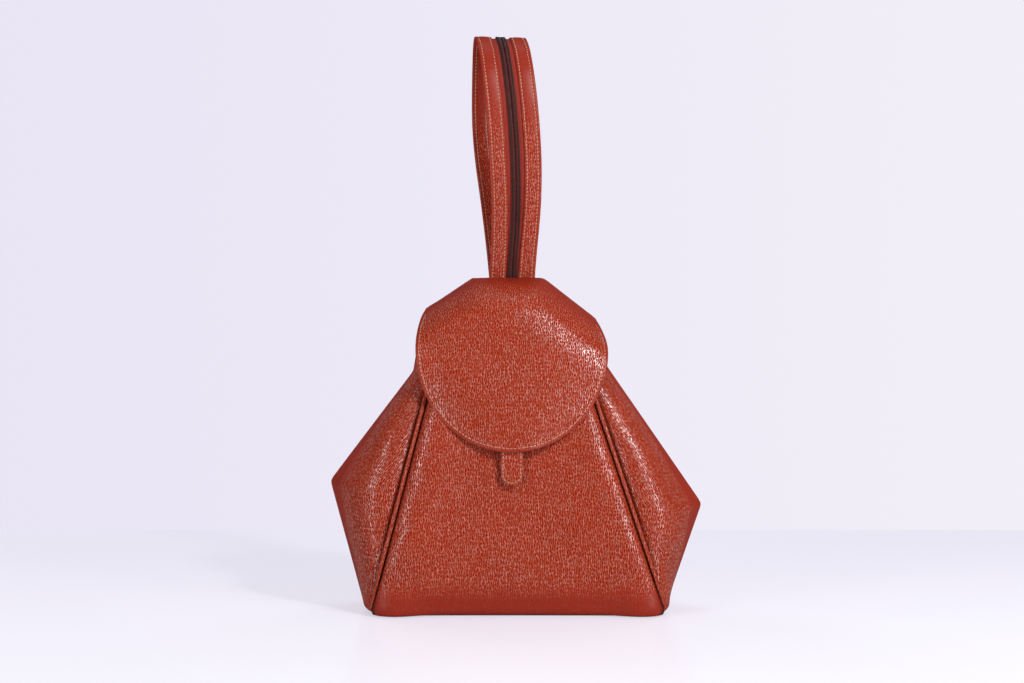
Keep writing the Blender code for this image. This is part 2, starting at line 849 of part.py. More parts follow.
def strap_route():
    """Points in side view from the seam under the flap, over the loop and down the back."""
    points = [(seam_front_y, back_height - strap_seam_depth), (seam_front_y, back_height)]
    for up_share, out_share in loop_shares[1:]:
        depth = seam_half_depth * (1 - up_share) + loop_half_depth * out_share
        points.append((loop_middle_y - depth, back_height + loop_height * up_share))
    for up_share, out_share in reversed(loop_shares[:-1]):
        depth = seam_half_depth * (1 - up_share) + loop_half_depth * out_share
        points.append((loop_middle_y + depth, back_height + loop_height * up_share))
    for share in strap_back_shares:
        z = mix(back_height, zip_end_height, share)
        points.append((strap_on_back(z), z))
    return points


def lengths_along(points):
    steps = [math.dist(first, second) for first, second in zip(points, points[1:])]
    return [0.0, *np.cumsum(steps)]


def strap_stations():
    """The strap's middle, its way across and its way out, at even steps along it."""
    route = strap_route()
    marks = lengths_along(route)
    fine = []
    count = math.ceil(marks[-1] / MM)
    for index in range(count + 1):
        where = marks[-1] * index / count
        y = follow(list(zip(marks, [point[0] for point in route])), where)
        z = follow(list(zip(marks, [point[1] for point in route])), where)
        fine.append((y, z))
    run = lengths_along(fine)
    tops = [index for index, point in enumerate(fine) if point[1] >= back_height]
    loop_start, loop_end = run[tops[0]], run[tops[-1]]
    stations = []
    station_count = round(run[-1] / strap_spacing)
    for index in range(station_count + 1):
        where = run[-1] * index / station_count
        y = float(np.interp(where, run, [point[0] for point in fine]))
        z = float(np.interp(where, run, [point[1] for point in fine]))
        progress = min(1, max(0, (where - loop_start) / (loop_end - loop_start)))
        x = loop_half_depth * follow(loop_lean_shares, progress)
        stations.append((where, progress, Vector((x, y, z))))
    frames = []
    for index, (where, progress, centre) in enumerate(stations):
        before = stations[max(0, index - 1)][2]
        after = stations[min(station_count, index + 1)][2]
        along = (after - before).normalized()
        twist = strap_twist * math.sin(math.pi * progress)
        across = Vector((math.cos(twist), math.sin(twist), 0))
        across = (across - along * across.dot(along)).normalized()
        opening = ease(min(progress, 1 - progress) / strap_opening_share)
        gap = mix(band_gap_at_bag, band_gap_in_loop, opening)
        frames.append((where, centre, across, across.cross(along).normalized(), gap))
    return frames


strap_frames = strap_stations()
strap_marks = [frame[0] for frame in strap_frames]
zip_end = strap_marks[-1]


def strap_at(where):
    """The strap's middle, way across, way out and half gap, as straight runs between the stations."""
    index = int(np.clip(np.searchsorted(strap_marks, where) - 1, 0, len(strap_marks) - 2))
    share = (where - strap_marks[index]) / (strap_marks[index + 1] - strap_marks[index])
    low, high = strap_frames[index], strap_frames[index + 1]
    return [low[part].lerp(high[part], share) for part in (1, 2, 3)] + [mix(low[4], high[4], share)]


def strap_strip(name, marks, edges, top, thickness, look):
    """A strip along the strap: edges gives two distances across at each mark."""
    rows = []
    for index, where in enumerate(marks):
        centre, across, out, gap = strap_at(where)
        rows.append([centre + across * edge + out * top for edge in edges(index, gap)])
    middle = strap_at(marks[len(marks) // 2])
    return sheet(name, rows, thickness, middle[2], look)


def foot_rows(side, top):
    """The end of one half of the strap, which runs out to a lower corner of the back panel."""
    start_x = band_gap_at_bag + band_width / 2
    half = band_width / 2
    count = math.ceil((zip_end_height - strap_foot_height) / strap_spacing)
    middle = []
    for index in range(count + 1):
        share = index / count
        z = mix(zip_end_height, strap_foot_height, share)
        bend = strap_spread_share
        out_share = (math.hypot(share, bend) - bend) / (math.hypot(1, bend) - bend)
        x = side * mix(start_x, strap_foot_half_width, out_share)
        middle.append(Vector((x, strap_on_back(z), z)))
    rows = []
    for index in range(1, count + 1):
        along = (middle[min(count, index + 1)] - middle[index - 1]).normalized()
        across = along.cross(back_out).normalized()
        centre = middle[index] + back_out * top
        rows.append([centre - across * side * half, centre + across * side * half])
    return rows


def band(name, side, top, thickness, look):
    """One layer of one half of the strap, from the seam over the loop to its lower corner."""
    rows = []
    for where, centre, across, out, gap in strap_frames:
        inner = centre + across * side * gap + out * top
        outer = centre + across * side * (gap + band_width) + out * top
        rows.append([inner, outer])
    rows += foot_rows(side, top)
    facing = strap_frames[len(rows) // 2][3]
    if top < 0:
        facing = -facing
    return sheet(name, rows, thickness, facing, look)


for side, word in ((-1, "left"), (1, "right")):
    band("strap_face_" + word, side, band_face_high, band_face_leather, tan)
    band("strap_back_" + word, side, -band_back_low, band_back_leather, dark_tan)

# The zip: a tape and a row of teeth on each half of the strap
zip_start = strap_seam_depth - zip_start_in_seam
slider_where = zip_end - stop_length - clearance * 4 - slider_length / 2
teeth_end = slider_where + slider_length / 2 - slider_post_length - 2 * clearance - tooth_reach
tooth_count = math.floor((teeth_end - zip_start) / tooth_pitch)
coil_top = tape_face + tape_gap + coil_height
tape_marks = [zip_start] + [mark for mark in strap_marks if mark > zip_start]

for side, word in ((-1, "left"), (1, "right")):

    def tape_edges(index, gap):
        return side * tape_middle_gap, side * (gap + tape_overlap)

    def tooth_edges(index, gap):
        reaching = (index % 2 == 0) == (side < 0)
        return side * (-tooth_reach if reaching else tooth_root), side * coil_half_width

    def stop_edges(index, gap):
        return side * tooth_root, side * coil_half_width

    strap_strip("zip_tape_" + word, tape_marks, tape_edges, tape_face, tape_thickness, red_tape)
    tooth_marks = [teeth_end - index * tooth_pitch / 2 for index in range(2 * tooth_count, -1, -1)]
    strap_strip("zip_teeth_" + word, tooth_marks, tooth_edges, coil_top, coil_height, black_coil)
    stop_marks = [zip_end - clearance - stop_length, zip_end - clearance]
    strap_strip("zip_stop_" + word, stop_marks, stop_edges, coil_top, coil_height, dark_metal)


def solid_from_curve(name, curve):
    """A curve made a welded mesh, so that a Boolean can join it."""
    guide = bpy.data.objects.new(name, curve)
    cutter_collection.objects.link(guide)
    bpy.context.view_layer.update()
    evaluated = guide.evaluated_get(bpy.context.evaluated_depsgraph_get())
    mesh = bpy.data.meshes.new_from_object(evaluated)
    bpy.data.objects.remove(guide)
    bm = bmesh.new()
    bm.from_mesh(mesh)
    bmesh.ops.remove_doubles(bm, verts=bm.verts, dist=0.00001)
    bmesh.ops.recalc_face_normals(bm, faces=bm.faces)
    bm.to_mesh(mesh)
    bm.free()
    return mesh


def prism(name, outlines, low, high):
    """A flat outline, with any holes after it, raised from low to high."""
    curve = bpy.data.curves.new(name, "CURVE")
    curve.dimensions = "2D"
    curve.fill_mode = "BOTH"
    curve.extrude = (high - low) / 2
    for outline in outlines:
        spline = curve.splines.new("POLY")
        spline.points.add(len(outline) - 1)
        for point, (x, y) in zip(spline.points, outline):
            point.co = (x, y, 0, 1)
        spline.use_cyclic_u = True
    mesh = solid_from_curve(name, curve)
    mesh.transform(Matrix.Translation((0, 0, (low + high) / 2)))
    return mesh


def joined(name, first, others, look, parent):
    """Solids in the parent's own frame, joined into one piece."""
    first.materials.append(material(name, look))
    piece = bpy.data.objects.new(name, first)
    bag_collection.objects.link(piece)
    piece.parent = parent
    for index, mesh in enumerate(others):
        helper = bpy.data.objects.new(f"{name}_join_{index}", mesh)
        helper.parent = parent
        helper.hide_render = True
        helper.display_type = "WIRE"
        cutter_collection.objects.link(helper)
        union = piece.modifiers.new("Join", "BOOLEAN")
        union.operation = "UNION"
        union.object = helper
    return piece


def rectangle(left, right, low, high):
    return [(left, low), (right, low), (right, high), (left, high)]


# The slider: two plates round the teeth, joined by a post where the two rows part
centre, across, out, gap = strap_at(slider_where)
slider_turn = Matrix((-across, back_slope, back_out)).transposed().to_4x4()
slider_pivot = pivot("slider_pivot", (0, 0, 0))
slider_pivot.matrix_world = Matrix.Translation(centre) @ slider_turn
bpy.context.view_layer.update()
half_length = slider_length / 2
half_width = coil_half_width + slider_play + slider_flange
top_low = coil_top + clearance
top_high = top_low + slider_plate
bottom_high = -tape_face - clearance
bottom_low = bottom_high - slider_plate
plate_outline = [
    (-half_width, -half_length),
    (half_width, -half_length),
    (half_width, half_length / 2),
    (half_width - slider_taper, half_length),
    (slider_taper - half_width, half_length),
    (-half_width, half_length / 2),
]
slider_top = prism("slider_top", [plate_outline], top_low, top_high)
slider_pieces = [prism("slider_bottom", [plate_outline], bottom_low, bottom_high)]
post_low = clearance - half_length
half_post = slider_post_width / 2
post = rectangle(-half_post, half_post, post_low, post_low + slider_post_length)
half_plate = slider_plate / 2
slider_pieces.append(prism("slider_post", [post], bottom_high - half_plate, top_low + half_plate))
for side in (-1, 1):
    inner = side * (half_width - slider_flange)
    outer = side * half_width
    flange_outline = rectangle(min(inner, outer), max(inner, outer), -half_length, half_length / 2)
    flange_low = tape_face + clearance
    slider_pieces.append(prism("slider_flange", [flange_outline], flange_low, top_low + half_plate))

bar_reach = math.hypot(pull_thickness, pull_thickness) / 2
hinge_height = top_high + pull_play + bar_reach
bridge_middle = hinge_height + bar_reach + pull_play + bridge_wire
bridge_foot = top_high - half_plate
bridge_points = [
    (bridge_half_span * along, mix(bridge_foot, bridge_middle, climb)) for along, climb in bridge_shares
]
bridge = bpy.data.curves.new("slider_bridge", "CURVE")
bridge.dimensions = "3D"
bridge.bevel_depth = bridge_wire
bridge.bevel_resolution = 1
bridge.use_fill_caps = True
spline = bridge.splines.new("POLY")
spline.points.add(len(bridge_points) - 1)
for point, (y, z) in zip(spline.points, bridge_points):
    point.co = (0, y, z, 1)
slider_pieces.append(solid_from_curve("slider_bridge", bridge))
joined("zip_slider", slider_top, slider_pieces, dark_metal, slider_pivot)

# The pull: a tapering plate whose eye goes round the slider's bridge
pull_pivot = pivot("pull_pivot", (0, 0, 0))
pull_pivot.parent = slider_pivot
pull_pivot.location = (0, 0, hinge_height)
bpy.context.view_layer.update()
eye_bar = pull_thickness / 2
pull_taper_start = eye_bar + pull_eye_length + pull_half_width
pull_outline = [
    (-pull_half_width, eye_bar),
    (-pull_half_width, -pull_taper_start),
    (-pull_end_half_width, pull_end_half_width - pull_length),
    (-pull_end_half_width / 2, -pull_length),
    (pull_end_half_width / 2, -pull_length),
    (pull_end_half_width, pull_end_half_width - pull_length),
    (pull_half_width, -pull_taper_start),
    (pull_half_width, eye_bar),
]
eye = rectangle(-pull_eye_half_width, pull_eye_half_width, -eye_bar - pull_eye_length, -eye_bar)
pull_mesh = prism("zip_pull", [pull_outline, eye], -eye_bar, eye_bar)
joined("zip_pull", pull_mesh, [], dark_metal, pull_pivot)
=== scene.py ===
"""A soft leather sling backpack that stands on a white table with its zipped strap up in a loop.

Units are metres with +Z up. The bag faces -Y, and the origin is on the middle of its base."""

import math

import bpy
import numpy as np
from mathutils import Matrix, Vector, noise


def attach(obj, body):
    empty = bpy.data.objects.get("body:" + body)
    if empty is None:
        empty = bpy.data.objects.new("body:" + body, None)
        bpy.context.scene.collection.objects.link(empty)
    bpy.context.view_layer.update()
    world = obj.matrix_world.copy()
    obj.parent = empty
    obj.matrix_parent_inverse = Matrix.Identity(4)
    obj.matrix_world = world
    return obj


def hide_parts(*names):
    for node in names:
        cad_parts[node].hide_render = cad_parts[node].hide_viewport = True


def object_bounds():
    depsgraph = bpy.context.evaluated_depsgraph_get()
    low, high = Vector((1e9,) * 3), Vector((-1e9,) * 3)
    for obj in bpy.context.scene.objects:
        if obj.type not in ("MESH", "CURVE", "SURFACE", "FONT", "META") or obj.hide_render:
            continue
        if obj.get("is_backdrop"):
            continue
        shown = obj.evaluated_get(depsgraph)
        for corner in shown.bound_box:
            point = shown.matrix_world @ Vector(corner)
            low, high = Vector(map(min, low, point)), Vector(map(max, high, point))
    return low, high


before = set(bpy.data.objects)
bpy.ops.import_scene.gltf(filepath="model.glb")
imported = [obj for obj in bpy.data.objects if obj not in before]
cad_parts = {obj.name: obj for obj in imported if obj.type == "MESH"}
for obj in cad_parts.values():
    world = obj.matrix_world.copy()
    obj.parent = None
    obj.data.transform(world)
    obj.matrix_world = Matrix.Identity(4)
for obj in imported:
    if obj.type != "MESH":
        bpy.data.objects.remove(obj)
cad_low, cad_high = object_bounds()
MM = 0.001

# The viewpoint: a camera level with the middle of the bag, straight in front of it
# It stands 1.8 m away with a fairly long lens, which gives the photograph's weak perspective
camera = bpy.data.objects.new("camera", bpy.data.cameras.new("camera"))
camera.location = (0, -1.8, 0.2655)
camera.rotation_euler = (math.radians(90), 0, 0)
camera.data.lens = 63.3
camera.data.sensor_width = 36
bpy.context.scene.collection.objects.link(camera)
bpy.context.scene.camera = camera
bpy.context.scene.view_settings.view_transform = "Standard"


class Value:
    """A socket of a finish, so that shader maths reads as plain arithmetic."""

    def __init__(self, socket):
        self.socket = socket

    def node(self, kind, settings, inputs, output=0):
        """Adds a node: its settings first, then the values or links of its sockets."""
        made = self.socket.id_data.nodes.new("ShaderNode" + kind)
        for name, setting in settings.items():
            setattr(made, name, setting)
        feed(made, inputs)
        return Value(made.outputs[output])

    def maths(self, operation, *values):
        return self.node("Math", {"operation": operation}, dict(enumerate(values)))

    def __add__(self, other):
        return self.maths("ADD", self, other)

    def __radd__(self, other):
        return self.maths("ADD", other, self)

    def __sub__(self, other):
        return self.maths("SUBTRACT", self, other)

    def __rsub__(self, other):
        return self.maths("SUBTRACT", other, self)

    def __mul__(self, other):
        return self.maths("MULTIPLY", self, other)

    def __rmul__(self, other):
        return self.maths("MULTIPLY", other, self)

    def between(self, low, high):
        """0 below low and 1 above high, with a soft step between."""
        settings = {"interpolation_type": "SMOOTHSTEP"}
        return self.node("MapRange", settings, {"Value": self, "From Min": low, "From Max": high})

    def tint(self, first, second):
        """The first colour where this value is 0 and the second where it is 1."""
        return self.node("Mix", {"data_type": "RGBA"}, {0: self, 6: first, 7: second}, 2)

    def speckle(self, scale, detail=2, output=0, roughness=0.5):
        """Soft noise over this place."""
        return self.node(
            "TexNoise", {}, {"Vector": self, "Scale": scale, "Detail": detail, "Roughness": roughness}, output
        )

    def raised(self, depth, strength=1):
        """The bump that this height makes, at a depth in millimetres."""
        return self.node("Bump", {}, {"Strength": strength, "Distance": depth * MM, "Height": self})


def feed(node, inputs):
    """Gives a node's sockets their values or links."""
    for name, value in inputs.items():
        if isinstance(value, Value):
            node.id_data.links.new(value.socket, node.inputs[name])
        else:
            node.inputs[name].default_value = value


def new_finish(name):
    """A material, and the place on the surface in millimetres."""
    made = bpy.data.materials.new(name)
    made.use_nodes = True
    place = Value(made.node_tree.nodes.new("ShaderNodeTexCoord").outputs["Object"])
    return made, place.node("VectorMath", {"operation": "SCALE"}, {0: place, "Scale": 1000})


def set_shader(finish, inputs):
    feed(finish.node_tree.nodes["Principled BSDF"], inputs)


# The table: a wide board in white satin lacquer, which the bag stands on
# Its far edge shows as a faint line behind the bag, and it isn't part of the object
table_edges = (-5, 0.735)
table_half_width = 4.0
table = bpy.data.meshes.new("table")
corners = [(-1, 0), (1, 0), (1, 1), (-1, 1)]
table.from_pydata([(x * table_half_width, table_edges[far], 0) for x, far in corners], [], [(0, 1, 2, 3)])
table_piece = bpy.data.objects.new("table", table)
bpy.context.scene.collection.objects.link(table_piece)
table_piece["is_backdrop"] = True
board_white, place = new_finish("board_white")
seen = Value(board_white.node_tree.nodes.new("ShaderNodeLightPath").outputs["Is Camera Ray"])
# For camera rays the board also glows, brighter towards the front than at its far edge: painted light on the
# table, which the lamps still shade.
far_off = place.node("SeparateXYZ", {}, {0: place}, 1).between(-900, 900)
board_glow = far_off.tint((0.57, 0.565, 0.62, 1), (0.49, 0.47, 0.57, 1))
board_look = {"Roughness": 0.2, "Specular IOR Level": 0.02, "Emission Strength": 1}
board_look["Base Color"] = seen.tint((0.75, 0.74, 0.75, 1), (0.5, 0.5, 0.52, 1))
set_shader(board_white, {**board_look, "Emission Color": seen.tint((0, 0, 0, 1), board_glow)})
table.materials.append(board_white)

# The studio: a pale lavender surround, which the bag's glossy pieces see too, and a dim room before the bag
# Soft lamps stand in front, above and behind, and the two behind don't show in the leather's gloss
world = bpy.data.worlds.new("studio")
world.use_nodes = True
bpy.context.scene.world = world
sky = world.node_tree
rays = sky.nodes.new("ShaderNodeLightPath").outputs
mirrored = Value(rays["Is Glossy Ray"]) + Value(rays["Is Transmission Ray"])
direction = Value(sky.nodes.new("ShaderNodeTexCoord").outputs["Generated"])
sideways, behind = (direction.node("SeparateXYZ", {}, {0: direction}, axis) for axis in (0, 1))
surround = sideways.between(-0.3, 0.35).tint((0.82, 0.787, 0.912, 1), (0.885, 0.86, 0.94, 1))
feed(sky.nodes["Background"], {"Strength": 1, "Color": surround})
room = direction.node("Background", {}, {"Strength": 0.15 - mirrored * 0.11, "Color": (1, 0.97, 0.97, 1)})
shown = Value(rays["Is Camera Ray"]) + mirrored * behind.between(-0.1, 0.6) * 0.35
chosen = direction.node("MixShader", {}, {0: shown, 1: room, 2: Value(sky.nodes["Background"].outputs[0])})
sky.links.new(chosen.socket, sky.nodes["World Output"].inputs["Surface"])
for name, position, aim, width, height, power, colour in (
    ("key_lamp", (0.95, -1.45, 1.35), 0.25, 0.2, 0.2, 17, (1, 0.98, 0.97)),
    ("right_lamp", (1.45, -1.45, 0.65), 0.25, 0.4, 1.1, 13.5, (1, 0.97, 0.985)),
    ("left_lamp", (-1.45, -1.5, 0.65), 0.25, 0.4, 1.1, 12, (1, 0.97, 0.985)),
    ("top_lamp", (0, 0.1, 2.1), 0.3, 1.0, 1.0, 5, (1, 1, 1)),
    ("back_lamp_left", (-1.3, 1.7, 1.2), 0.25, 0.9, 0.9, 11, (1, 1, 1)),
    ("back_lamp_right", (1.3, 1.7, 1.2), 0.25, 0.9, 0.9, 8, (1, 1, 1)),
):
    lamp = bpy.data.objects.new(name, bpy.data.lights.new(name, "AREA"))
    lamp.data.shape = "RECTANGLE"
    lamp.data.size = width
    lamp.data.size_y = height
    lamp.data.energy = power
    lamp.data.color = colour
    lamp.location = position
    lamp.rotation_euler = (Vector((0, 0, aim)) - Vector(position)).to_track_quat("-Z", "Y").to_euler()
    lamp.visible_glossy = not name.startswith("back")
    bpy.context.scene.collection.objects.link(lamp)

# The front panel: one tapering piece of pebbled leather, which makes most of the bag's face
# It is rolled in at its side seams, where it is sewn to the side walls with piping between
# It is turned under at the base, where the soft leather swells over the corners
wall_leather = 1.2 * MM
base_half_width = 145 * MM
mouth_half_width = 61.6 * MM
front_height = 284 * MM
front_reach = 66 * MM
front_crown = 4 * MM
lean_at_base = 6 * MM
lean_at_mouth = -4.5 * MM
back_height = 330 * MM
back_reach = 65 * MM
back_top_reach = 26.8 * MM
corner_puff = 12 * MM
corner_droop = 3.6 * MM
corner_puff_height = 42 * MM
flange_height = 2.7 * MM
flange = 8 * MM
side_roll_radius = 6 * MM
roll_top = flange_height + side_roll_radius
front_roll_radius = 9.5 * MM
seam_gap = 2.3 * MM
front_profile = [(0, 0.94), (0.07, 1), (0.352, 0.94), (0.704, 0.727), (1, 0.52)]
seam_roll = [(0.3, 4.6), (1.4, 4.5), (2.2, 4.0), (2.6, 3.2), (3.1, 2.4), (4, 1.5)]
seam_roll += [(5.2, 0.85), (7, 0.35), (9.5, 0.08), (12.5, 0)]
seam_zone = seam_roll[-1][0]
tan = (0.36, 0.011, 0.0012, 1)
valley = (0.26, 0.005, 0.0004, 1)


def mix(first, second, share):
    return first + (second - first) * share


def ease(share):
    share = min(1, max(0, share))
    return share * share * (3 - 2 * share)


def follow(table, where):
    """The value at a place on a smooth curve through the table's pairs."""
    places, values = zip(*table)
    slopes = np.gradient(values, places)
    start = int(np.clip(np.searchsorted(places, where) - 1, 0, len(places) - 2))
    step = places[start + 1] - places[start]
    share = (where - places[start]) / step
    square, cube = share**2, share**3
    curve = (2 * cube - 3 * square + 1) * values[start] + (cube - 2 * square + share) * step * slopes[start]
    curve += (3 * square - 2 * cube) * values[start + 1]
    return float(curve + (cube - square) * step * slopes[start + 1])


def front_seam(side, z):
    share = z / front_height
    lean = mix(lean_at_base, lean_at_mouth, share)
    half_width = mix(base_half_width, mouth_half_width, share)
    return Vector((lean + side * half_width, -front_reach * follow(front_profile, share), z))


def seam_sink(beside, z):
    """How far a panel is drawn in at this distance beside a piped seam."""
    places, depths = zip(*seam_roll)
    return float(np.interp(beside / MM, places, depths)) * MM * mix(0.4, 1, ease((z - 8 * MM) / (40 * MM)))


def pucker(beside, z, seed):
    """The small ripples that sewing leaves beside a seam."""
    weight = 0.35 + max(0, noise.noise(Vector((seed, z * 22, 0.5)))) * 2.2
    weight += 0.9 * math.exp(-(((z - 0.078) / 0.022) ** 2))
    wave = math.sin(z / MM / 8.5 * 2 * math.pi + 3 * noise.noise(Vector((z * 60, seed, 0))))
    return 0.34 * MM * weight * wave * math.exp(-(((beside / MM - 8.5) / 5) ** 2))


def edge_puff(side, beside, z):
    """How far the front panel swells forward beside its seams, where it is pulled round the piping."""
    near = beside / ((19 if side < 0 else 16.5) * MM)
    fade = mix(0.35, 1, ease((z - 10 * MM) / (60 * MM))) * mix(1, 0.5, ease((z - 0.2) / 0.06))
    return (7.3 if side < 0 else 6.6) * MM * near * math.exp(1 - near) * fade


def seam_creases(side, beside, z):
    """Two creases that the left seam pulls into the front panel."""
    near = beside / MM
    depth = 0
    for height, deep in ((128, 2.2), (84, 3)) if side < 0 else ():
        off = (z / MM - height - 0.45 * (near - 8)) / 3.6
        depth += deep * math.exp(-(off**2)) * math.exp(-(((near - 9) / 6.5) ** 2))
    return depth * MM


def slack(point, reach=45 * MM, amount=0.9 * MM):
    """The gentle unevenness of soft leather."""
    return amount * noise.noise(Vector(point) / reach)


def corner_weight(across):
    if across < 0.84:
        return math.exp(-(((across - 0.84) / 0.17) ** 2))
    return 1 - ((min(1, across) - 0.84) / 0.16) ** 2


def front_across(column, z):
    """How far from the middle towards a side seam a column is at this height, from 0 to 1."""
    width = 2 * mix(base_half_width, mouth_half_width, z / front_height)
    return abs(2 * (column[0] + column[1] / width) - 1)


def between_seams(seam_at, column, z):
    """A column's place between two seams at this height, how far it is beside the nearer one, on which side, and
    its share of the width."""
    left, right = seam_at(-1, z), seam_at(1, z)
    width = right.x - left.x
    along = column[0] * width + column[1]
    side = -1 if along < width / 2 else 1
    return left.lerp(right, along / width), min(along, width - along), side, along / width


def inward(side, half):
    """The level way into the bag from a seam of its front or back half."""
    return Vector((-side * 0.3, 0.95, 0)) if half == "front" else Vector((-side * 0.45, -0.89, 0))


def front_at(column, z):
    """A place on the front panel: a share of the width from the left seam, and a distance on from there."""
    point, beside, side, share = between_seams(front_seam, column, z)
    across = abs(2 * share - 1)
    point.y -= front_crown * (1 - across**3) * min(1, z / corner_puff_height)
    point.y -= corner_puff * max(0, 1 - z / corner_puff_height) ** 2 * corner_weight(across)
    point += inward(side, "front") * seam_sink(beside, z)
    point.y += seam_creases(side, beside, z) - edge_puff(side, beside, z)
    point.y += pucker(beside, z, side) + slack((point.x, 0, z)) * ease(beside / (20 * MM))
    return point


def turned_under(wall, radius, angle, further):
    """A place on the roll that carries a wall round under the bag."""
    inset = radius * (1 - math.cos(angle)) + further
    x = wall.x * (1 - inset / base_half_width)
    y = wall.y * (1 - inset / front_reach)
    return Vector((x, y, flange_height + radius * (1 - math.sin(angle))))


def wall_rows(point_at, columns, radius_at, height_at, row_shares, droop_at=lambda column: 0):
    """Rows of a wall, from its flange under the bag up to its top edge."""
    rows = []
    for angle, further in [(90, flange)] + [(angle, 0) for angle in range(90, 0, -9)]:
        turn = math.radians(angle)
        row = []
        for column in columns:
            radius = radius_at(column)
            point = turned_under(point_at(column, flange_height + radius), radius, turn, further)
            point.z -= droop_at(column) * math.sin(2 * turn)
            row.append(point)
        rows.append(row)
    for share in row_shares:
        rows.append([point_at(column, height_at(column, share)) for column in columns])
    return rows


def soften(rows, times):
    """Rounds off creases in a fine grid, and leaves its border in place."""
    grid = np.array([[tuple(point) for point in row] for row in rows])
    for _ in range(times):
        middle = grid[1:-1, 1:-1]
        around = grid[:-2, 1:-1] + grid[2:, 1:-1] + grid[1:-1, :-2] + grid[1:-1, 2:]
        grid[1:-1, 1:-1] = middle / 2 + around / 8
    return grid


def unit(vectors):
    """The same directions, each at length 1."""
    return vectors / np.maximum(np.linalg.norm(vectors, axis=-1, keepdims=True), 1e-12)


def normals_of(grid, ring=False):
    """Which way each place of a grid faces."""
    across = np.roll(grid, -1, 1) - np.roll(grid, 1, 1) if ring else np.gradient(grid, axis=1)
    return unit(np.cross(across, np.gradient(grid, axis=0)))


def add_piece(name, points, faces, look, body, replaced=()):
    """A mesh that rides on a body and stands for these nodes of the frame."""
    mesh = bpy.data.meshes.new(name)
    mesh.from_pydata(np.reshape(points, (-1, 3)).tolist(), [], faces)
    mesh.materials.append(look)
    mesh.update()
    mesh.shade_smooth()
    piece = bpy.data.objects.new(name, mesh)
    bpy.context.scene.collection.objects.link(piece)
    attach(piece, body)
    if replaced:
        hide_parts(*replaced)
    return piece


def grid_faces(rows, columns, ring=False, start=0, capped=False):
    """The faces of a grid, whose rows may each close into a ring and whose ends may be capped."""
    faces = []
    for row in range(rows - 1):
        for column in range(columns if ring else columns - 1):
            beside = (column + 1) % columns
            low, high = start + row * columns, start + (row + 1) * columns
            faces.append((low + column, low + beside, high + beside, high + column))
    if capped:
        last = start + (rows - 1) * columns
        faces += [tuple(range(start, start + columns))[::-1], tuple(range(last, last + columns))]
    return faces


def laid_flat(grid):
    """Each place of a grid as it lies on the flat leather, in millimetres from its lowest row's middle."""
    across = np.pad(np.linalg.norm(np.diff(grid, axis=1), axis=2).cumsum(1), ((0, 0), (1, 0)))
    across -= across[:, [grid.shape[1] // 2]]
    along = np.pad(np.linalg.norm(np.diff(grid, axis=0), axis=2).cumsum(0), ((1, 0), (0, 0)))
    return np.stack([across, along, along * 0], 2).reshape(-1, 3) / MM


def keep_values(piece, word, values):
    """Keeps a value for each of a mesh's first places, which its finish reads by this word."""
    kept = np.zeros((len(piece.data.vertices), *values.shape[1:]), np.float32)
    kept[: len(values)] = values
    kind, field = ("FLOAT", "value") if kept.ndim == 1 else ("FLOAT_VECTOR", "vector")
    piece.data.attributes.new(word, kind, "POINT").data.foreach_set(field, kept.ravel())


def add_sheet(
    name, grid, thickness, look, replaced, body="bag", facing=(0, -1, 0), ring=False, middle=None, **shares
):
    """A sheet whose given side faces out. Its shares are values for its places: where its grain is stretched flat
    and a sheen is painted, and where shade beside a seam is painted dark."""
    rows, columns = grid.shape[:2]
    points = grid.reshape(-1, 3)
    faces = grid_faces(rows, columns, ring)
    flat = laid_flat(grid)
    if middle is not None:
        points = np.vstack([points, middle])
        last = (rows - 1) * columns
        faces += [(last + place, last + (place + 1) % columns, len(points) - 1) for place in range(columns)]
        flat = np.stack([points[:, 0], points[:, 2] + points[:, 1] * 0.8, points[:, 1] * 0], 1) / MM
    if normals_of(grid, ring)[rows // 2, columns // 4 if ring else columns // 2] @ np.array(facing) < 0:
        faces = [face[::-1] for face in faces]
    piece = add_piece(name, points, faces, look, body, replaced)
    keep_values(piece, "flat", flat)
    for word, values in shares.items():
        keep_values(piece, word, np.broadcast_to(values, (rows, columns)).ravel())
    solidify = piece.modifiers.new("Thickness", "SOLIDIFY")
    solidify.thickness = thickness
    solidify.offset = -1
    return piece


